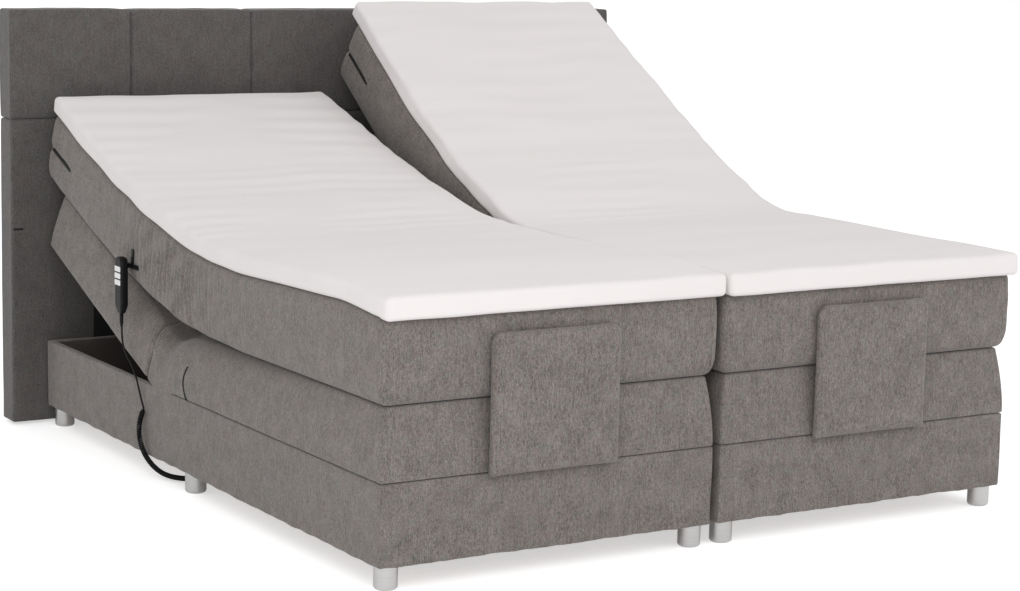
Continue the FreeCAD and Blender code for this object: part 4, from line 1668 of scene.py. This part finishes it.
# ------------------------------------------------------------------ base boxes
@dataclass
class BaseBox:
    """The fabric-covered box that stands on the feet, open above, with a dark lining."""

    side: Side
    finishes: Finishes

    wall: float = 0.019
    edge_radius: float = 0.0042

    def build(self) -> None:
        """Makes the covered walls of one base box."""
        centre, word = self.side.centre, self.side.word
        deselect_all()
        bpy.ops.mesh.primitive_cube_add(
            size=1.0, location=(centre, along(UNIT_LENGTH / 2), (BASE_BOTTOM + BASE_TOP) / 2)
        )
        box = bpy.context.active_object
        box.name = f"{word}_base_cover"
        box.scale = (HALF_WIDTH * 2, UNIT_LENGTH, BASE_TOP - BASE_BOTTOM)
        bpy.ops.object.transform_apply(location=True, rotation=True, scale=True)
        bpy.ops.object.mode_set(mode="EDIT")
        pick_faces(box, lambda face: abs(face.normal.z) > 0.9)
        bpy.ops.mesh.inset(thickness=self.wall)
        bpy.ops.mesh.bridge_edge_loops()
        bpy.ops.mesh.select_mode(type="EDGE")
        rows_along = ((1, UNIT_LENGTH, 120), (0, HALF_WIDTH * 2, 54), (2, BASE_TOP - BASE_BOTTOM, 10))
        for axis, length, rows in rows_along:
            divide(box, axis, length * 0.8, rows)
        bpy.ops.mesh.select_all(action="SELECT")
        bpy.ops.mesh.normals_make_consistent(inside=False)
        bpy.ops.object.mode_set(mode="OBJECT")
        round_edges(box, self.edge_radius, 3)
        apply_modifiers(box)

        def depth(points: np.ndarray, outward: np.ndarray) -> np.ndarray:
            """Loosens the cover and waves its lower edge.

            Args:
                points: places in metres.
                outward: their normals.

            Returns:
                Metres along each normal.
            """
            side = np.clip(np.hypot(outward[:, 0], outward[:, 1]), 0, 1) ** 2
            low = np.clip((BASE_BOTTOM + 0.02 - points[:, 2]) / 0.02, 0, 1)
            loose = side * 0.0007 * swell(points, 71 + self.side.value, 0.14)
            return loose + 0.0011 * low * swell(points, 73, 0.05)

        push_along_normals(box, depth)
        store_cloth(box, coordinates(box))
        shade_soft(box, 50)
        self.finishes.dress(box, Slot.BASE)
        box.data.materials.append(self.finishes.get(LINING))
        inner = HALF_WIDTH - self.wall
        for face in box.data.polygons:
            across = abs(face.center.x - centre) < inner + 0.002
            within = along(self.wall - 0.002) < face.center.y < along(UNIT_LENGTH - self.wall + 0.002)
            if across and within and face.center.z < BASE_TOP - 0.006:
                face.material_index = 1
        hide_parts("base_sides", "base_ends")
        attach(box, "root")
        LOG.info("%s base box", word)


# ------------------------------------------------------------------ headboard
@dataclass
class Headboard:
    """The padded headboard: a seamed upper band over a plain lower panel."""

    finishes: Finishes

    seams: tuple[float, ...] = (-0.645, -0.262, 0.262, 0.645)
    radius: float = 0.007
    lower_edge: float = 0.008
    groove_depth: float = 0.0085
    dimple_depth: float = 0.0016

    def panel(self, name: str, node: str, rows: int) -> bpy.types.Object:
        """Makes one padded part of the headboard at its node's place.

        Args:
            name: the new piece's name.
            node: the CAD node that it stands for.
            rows: the rows over its height.

        Returns:
            The plain rounded part.
        """
        low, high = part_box(node)
        if low.z < 0.1:
            low.z = self.lower_edge
        steps = (-0.010, -0.006, -0.0035, -0.0015, 0.0, 0.0015, 0.0035, 0.006, 0.010)
        ribs = tuple(seam + step for seam in self.seams for step in steps) if high.z > 1.0 else ()
        return SoftBlock(
            name, tuple(low), tuple(high), self.radius, (168, 8, rows), segments=4, ribs=ribs
        ).build()

    def upper_band(self) -> None:
        """The upper band, pulled in at its four upright seams."""
        band = self.panel("headboard_upper_cover", "headboard_upper_pad", 26)
        low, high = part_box("headboard_upper_pad")

        def depth(points: np.ndarray, outward: np.ndarray) -> np.ndarray:
            """Pads the band and pulls in its seams.

            Args:
                points: places in metres.
                outward: their normals.

            Returns:
                Metres along each normal.
            """
            level = (points[:, 2] - low.z) / (high.z - low.z)
            face = np.clip(np.abs(outward[:, 1]) + np.clip(outward[:, 2], 0, 1), 0, 1)
            groove = sum(bump_at(points[:, 0], x, 0.0040) for x in self.seams)
            dimple = sum(bump_at(points[:, 0], x, 0.030) for x in self.seams)
            crown = 0.003 * (1 - (2 * level - 1) ** 4)
            loose = 0.0010 * swell(points, 81, 0.3) + 0.0004 * swell(points, 83, 0.09)
            return face * (crown + loose - self.groove_depth * groove - self.dimple_depth * dimple)

        push_along_normals(band, depth)
        shade_soft(band)
        self.finishes.dress(band, Slot.HEADBOARD)
        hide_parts("headboard_upper_pad")
        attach(band, "root")

    def lower_panel(self) -> None:
        """The plain lower panel."""
        panel = self.panel("headboard_lower_cover", "headboard_lower_pad", 60)
        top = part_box("headboard_lower_pad")[1].z

        def depth(points: np.ndarray, outward: np.ndarray) -> np.ndarray:
            """Pads the panel.

            Args:
                points: places in metres.
                outward: their normals.

            Returns:
                Metres along each normal.
            """
            near = np.clip((top - points[:, 2]) / 0.05, 0, 1)
            face = np.clip(np.abs(outward[:, 1]), 0, 1)
            return face * (0.002 * near + 0.0012 * swell(points, 91, 0.4) + 0.0004 * swell(points, 93, 0.1))

        push_along_normals(panel, depth)
        shade_soft(panel)
        self.finishes.dress(panel, Slot.HEADBOARD)
        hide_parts("headboard_lower_pad")
        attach(panel, "root")

    def zip_tab(self) -> None:
        """The end of the cover's zip at the left of the headboard's front face."""
        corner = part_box("headboard_lower_pad")[0]
        tab = SoftBlock(
            "headboard_zip_tab", (corner.x + 0.004, corner.y - 0.0035, 0.5655),
            (corner.x + 0.034, corner.y + 0.003, 0.5710), 0.0014, (6, 1, 1), segments=3,
        ).build()
        shade_soft(tab)
        self.finishes.dress(tab, Slot.HEADBOARD, ZIP_AND_SLIT_SHADE)
        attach(tab, "root")

    def build(self) -> None:
        """Makes the headboard's covers."""
        self.upper_band()
        self.lower_panel()
        self.zip_tab()
        LOG.info("headboard")


# ------------------------------------------------------------------ handset and cord
@dataclass
class Handset:
    """The black wired handset with its curly cord."""

    finishes: Finishes

    cord_route: tuple[Place, ...] = (
        (-0.938, 1.386, 0.384), (-0.9375, 1.3865, 0.359), (-0.935, 1.384, 0.330), (-0.931, 1.373, 0.308),
        (-0.926, 1.351, 0.286), (-0.922, 1.332, 0.262), (-0.921, 1.316, 0.234), (-0.921, 1.298, 0.204),
        (-0.922, 1.277, 0.180),
    )
    coil_route: tuple[Place, ...] = (
        (-0.922, 1.277, 0.180), (-0.925, 1.297, 0.148), (-0.927, 1.300, 0.110), (-0.926, 1.280, 0.072),
        (-0.919, 1.246, 0.042), (-0.905, 1.215, 0.022), (-0.888, 1.189, 0.013), (-0.872, 1.162, 0.012),
        (-0.860, 1.128, 0.016), (-0.851, 1.096, 0.022),
    )
    cord_diameter: float = 0.005
    wire_diameter: float = 0.0044
    coil_diameter: float = 0.015
    coil_pitch: float = 0.0056
    turn_points: int = 12
    shell_radius: float = 0.0055

    def curve(self, name: str, route: Sequence[Place], bevel: float) -> bpy.types.Object:
        """Draws a smooth curve on a route.

        Args:
            name: the new object's name.
            route: control points from the bed's foot end.
            bevel: the tube's radius, or 0 for a bare line.

        Returns:
            The curve object.
        """
        data = bpy.data.curves.new(name, "CURVE")
        data.dimensions = "3D"
        spline = data.splines.new("NURBS")
        spline.points.add(len(route) - 1)
        for point, (x, y, z) in zip(spline.points, route):
            point.co = (x, along(y), z, 1.0)
        spline.order_u = 3
        spline.use_endpoint_u = True
        spline.resolution_u = 24
        data.bevel_depth = bevel
        data.bevel_resolution = 4
        data.use_fill_caps = True
        obj = bpy.data.objects.new(name, data)
        bpy.context.collection.objects.link(obj)
        return obj

    def line_points(self, route: Sequence[Place]) -> np.ndarray:
        """Follows a route's smooth line.

        Args:
            route: control points from the bed's foot end.

        Returns:
            The line's points.
        """
        line = self.curve("route_line", route, 0.0)
        mesh = bpy.data.meshes.new_from_object(line)
        points = np.array([vertex.co[:] for vertex in mesh.vertices])
        bpy.data.objects.remove(line)
        bpy.data.meshes.remove(mesh)
        return points

    def plain_cord(self) -> None:
        """The straight part of the cord, hanging from the strain relief."""
        points = self.line_points(self.cord_route)
        cord = self.curve("handset_lead", self.cord_route, self.cord_diameter / 2)
        cord.data.materials.append(self.finishes.get(FINISHES[Slot.CORD]))
        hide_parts("handset_cord")
        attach(cord, "root")

    def curly_cord(self) -> None:
        """The curly part: a helix round the smooth line down to the gland below the base."""
        points = self.line_points(self.coil_route)
        steps = np.linalg.norm(np.diff(points, axis=0), axis=1)
        run = np.concatenate([[0.0], np.cumsum(steps)])
        total = float(run[-1])
        radius = (self.coil_diameter - self.wire_diameter) / 2
        count = int(total / self.coil_pitch * self.turn_points)
        travel = np.linspace(0, total, count)
        centre = np.stack([np.interp(travel, run, points[:, axis]) for axis in range(3)], 1)
        heading = np.gradient(centre, axis=0)
        heading /= np.linalg.norm(heading, axis=1)[:, None]
        side = np.cross(heading, np.array([1.0, 0.0, 0.0]))
        side /= np.linalg.norm(side, axis=1)[:, None]
        other = np.cross(heading, side)
        ease = np.clip(np.minimum(travel, total - travel) / 0.012, 0, 1)
        phase = 2 * math.pi * travel / self.coil_pitch
        around = np.cos(phase)[:, None] * side + np.sin(phase)[:, None] * other
        helix = centre + radius * ease[:, None] * around
        route = [(x, y - FOOT_END, z) for x, y, z in helix]
        tube = self.curve("handset_curl", route, self.wire_diameter / 2)
        tube.data.splines[0].resolution_u = 2
        tube.data.bevel_resolution = 2
        mesh = bpy.data.meshes.new_from_object(tube)
        curl = bpy.data.objects.new("handset_curly_lead", mesh)
        bpy.context.collection.objects.link(curl)
        bpy.data.objects.remove(tube)
        for face in mesh.polygons:
            face.use_smooth = True
        mesh.materials.clear()
        mesh.materials.append(self.finishes.get(FINISHES[Slot.CORD]))
        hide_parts("handset_curly_cord")
        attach(curl, "root")

    def body(self) -> None:
        """The handset's shell: a rounded bar that narrows towards the cord, parted along its middle."""
        low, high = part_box("handset_front")
        back_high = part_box("handset_back")[1]
        centre_y = (low.y + high.y) / 2
        shell = SoftBlock(
            "handset_shell", tuple(low), (back_high.x, high.y, high.z), self.shell_radius, (6, 8, 40),
        ).build()
        points = coordinates(shell)
        height = (points[:, 2] - low.z) / (high.z - low.z)
        taper = 1 - 0.58 * np.clip((0.20 - height) / 0.20, 0, 1) ** 1.5
        half = (high.y - low.y) / 2
        crown = np.clip((points[:, 2] - (high.z - half)) / half, 0, 1)
        round_top = np.sqrt(np.clip(1 - (0.93 * crown) ** 2, 0, 1))
        points[:, 1] = centre_y + (points[:, 1] - centre_y) * taper * round_top
        centre_x = (low.x + back_high.x) / 2
        slim = 1 - 0.35 * np.clip((0.14 - height) / 0.14, 0, 1)
        seam = 1 - 0.05 * bump_at(points[:, 0], centre_x, 0.0009)
        points[:, 0] = centre_x + (points[:, 0] - centre_x) * slim
        points[:, 1] = centre_y + (points[:, 1] - centre_y) * seam
        place_vertices(shell, points)
        shade_soft(shell)
        self.finishes.dress(shell, Slot.HANDSET)
        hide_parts("handset_front", "handset_back")
        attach(shell, "root")

    def build(self) -> None:
        """Makes the cord in its two parts and the handset's shell."""
        self.plain_cord()
        self.curly_cord()
        self.body()
        LOG.info("handset and cord")


# ------------------------------------------------------------------ studio
@dataclass(frozen=True)
class Studio:
    """Camera, pale floor and soft light."""

    camera_place: Place = (-3.4053, -4.5421, 1.485)
    yaw: float = 0.555
    pitch: float = 0.1557
    roll: float = 0.023
    lens: float = 85.67
    sky: float = 0.70
    floor_glow: float = 0.55
    floor_spill: float = 0.12
    lamp_size: float = 2.6

    def camera(self) -> None:
        """Adds the camera at its place and angle."""
        data = bpy.data.cameras.new("camera")
        data.lens = self.lens
        data.sensor_width = 36.0
        data.sensor_fit = "HORIZONTAL"
        data.clip_end = 100.0
        camera = bpy.data.objects.new("camera", data)
        bpy.context.collection.objects.link(camera)
        level = math.cos(self.pitch)
        ahead = Vector((math.sin(self.yaw) * level, math.cos(self.yaw) * level, -math.sin(self.pitch)))
        right = Vector((math.cos(self.yaw), -math.sin(self.yaw), 0.0))
        up = right.cross(ahead)
        tilted_right = math.cos(self.roll) * right + math.sin(self.roll) * up
        tilted_up = -math.sin(self.roll) * right + math.cos(self.roll) * up
        turned = Matrix((tilted_right, tilted_up, -ahead)).transposed()
        x, y, z = self.camera_place
        camera.matrix_world = Matrix.Translation((x, along(y), z)) @ turned.to_4x4()
        bpy.context.scene.camera = camera

    def light(self, name: str, place: Place, target: Place, size: float, power: float) -> None:
        """Adds one soft square light aimed at a point.

        Args:
            name: the light's name.
            place: where it stands.
            target: the point that it is aimed at.
            size: its side in metres.
            power: its power in watts.
        """
        data = bpy.data.lights.new(name, "AREA")
        data.shape = "SQUARE"
        data.size = size
        data.energy = power
        lamp = bpy.data.objects.new(name, data)
        lamp.location = place
        direction = Vector(target) - Vector(place)
        lamp.rotation_euler = direction.to_track_quat("-Z", "Y").to_euler()
        bpy.context.collection.objects.link(lamp)

    def surroundings(self) -> None:
        """The floor and an even white sky."""
        world = bpy.data.worlds.new("studio")
        world.use_nodes = True
        wiring = GroupWiring(world.node_tree)
        backdrop = world.node_tree.nodes["Background"]
        backdrop.inputs["Color"].default_value = WHITE
        seen = wiring.node("ShaderNodeLightPath").outputs["Is Camera Ray"]
        wiring.link(wiring.ramp(seen, 0.0, 1.0, self.sky, 1.02), backdrop.inputs["Strength"])
        bpy.context.scene.world = world
        deselect_all()
        bpy.ops.mesh.primitive_grid_add(x_subdivisions=2, y_subdivisions=2, size=60.0, location=(0, 0, -0.0005))
        floor = bpy.context.active_object
        floor.name = "studio_floor"
        material, shader = new_material("pale_floor")
        shader.inputs["Base Color"].default_value = (0.93, 0.93, 0.93, 1.0)
        shader.inputs["Emission Color"].default_value = WHITE
        wiring = GroupWiring(material.node_tree)
        seen = wiring.node("ShaderNodeLightPath").outputs["Is Camera Ray"]
        glow = wiring.ramp(seen, 0.0, 1.0, self.floor_spill, self.floor_glow)
        wiring.link(glow, shader.inputs["Emission Strength"])
        shader.inputs["Roughness"].default_value = 0.9
        shader.inputs["Specular IOR Level"].default_value = 0.1
        floor.data.materials.append(material)

    def build(self) -> None:
        """Adds the surroundings and the lights."""
        self.surroundings()
        self.light("key", (-2.6, -3.8, 2.5), (-0.3, -0.6, 0.4), self.lamp_size, 42.0)
        self.light("fill", (2.2, -4.2, 2.6), (0.3, -0.6, 0.4), self.lamp_size, 26.0)
        bpy.context.scene.view_settings.view_transform = "Standard"
        LOG.info("studio")


def main() -> None:
    """Builds every sub-assembly of the bed in order."""
    logging.basicConfig(level=logging.INFO, format="%(name)s: %(message)s")
    studio = Studio()
    studio.camera()
    finishes = Finishes()
    finishes.dress_frame()
    Handset(finishes).build()
    bends = {
        Side.LEFT: BackBend(
            Side.LEFT, start=0.80, middle=1.25, straight=1.78, flat_end=2.115,
            lifts=LEFT_LIFTS, sags=LEFT_SAGS, narrowing=LEFT_NARROWING, topper_extra=0.010,
        ),
        Side.RIGHT: BackBend(
            Side.RIGHT, start=0.80, middle=1.27, straight=1.70, flat_end=2.268,
            lifts=RIGHT_LIFTS, sags=RIGHT_SAGS, narrowing=RIGHT_NARROWING, topper_extra=0.040,
        ),
    }
    for side, bend in bends.items():
        BaseBox(side, finishes).build()
        SpringSections(side, bend, finishes).build()
        Mattress(side, bend, finishes).build()
        Topper(side, bend, finishes).build()
    Headboard(finishes).build()
    studio.build()


if __name__ == "__main__":
    main()
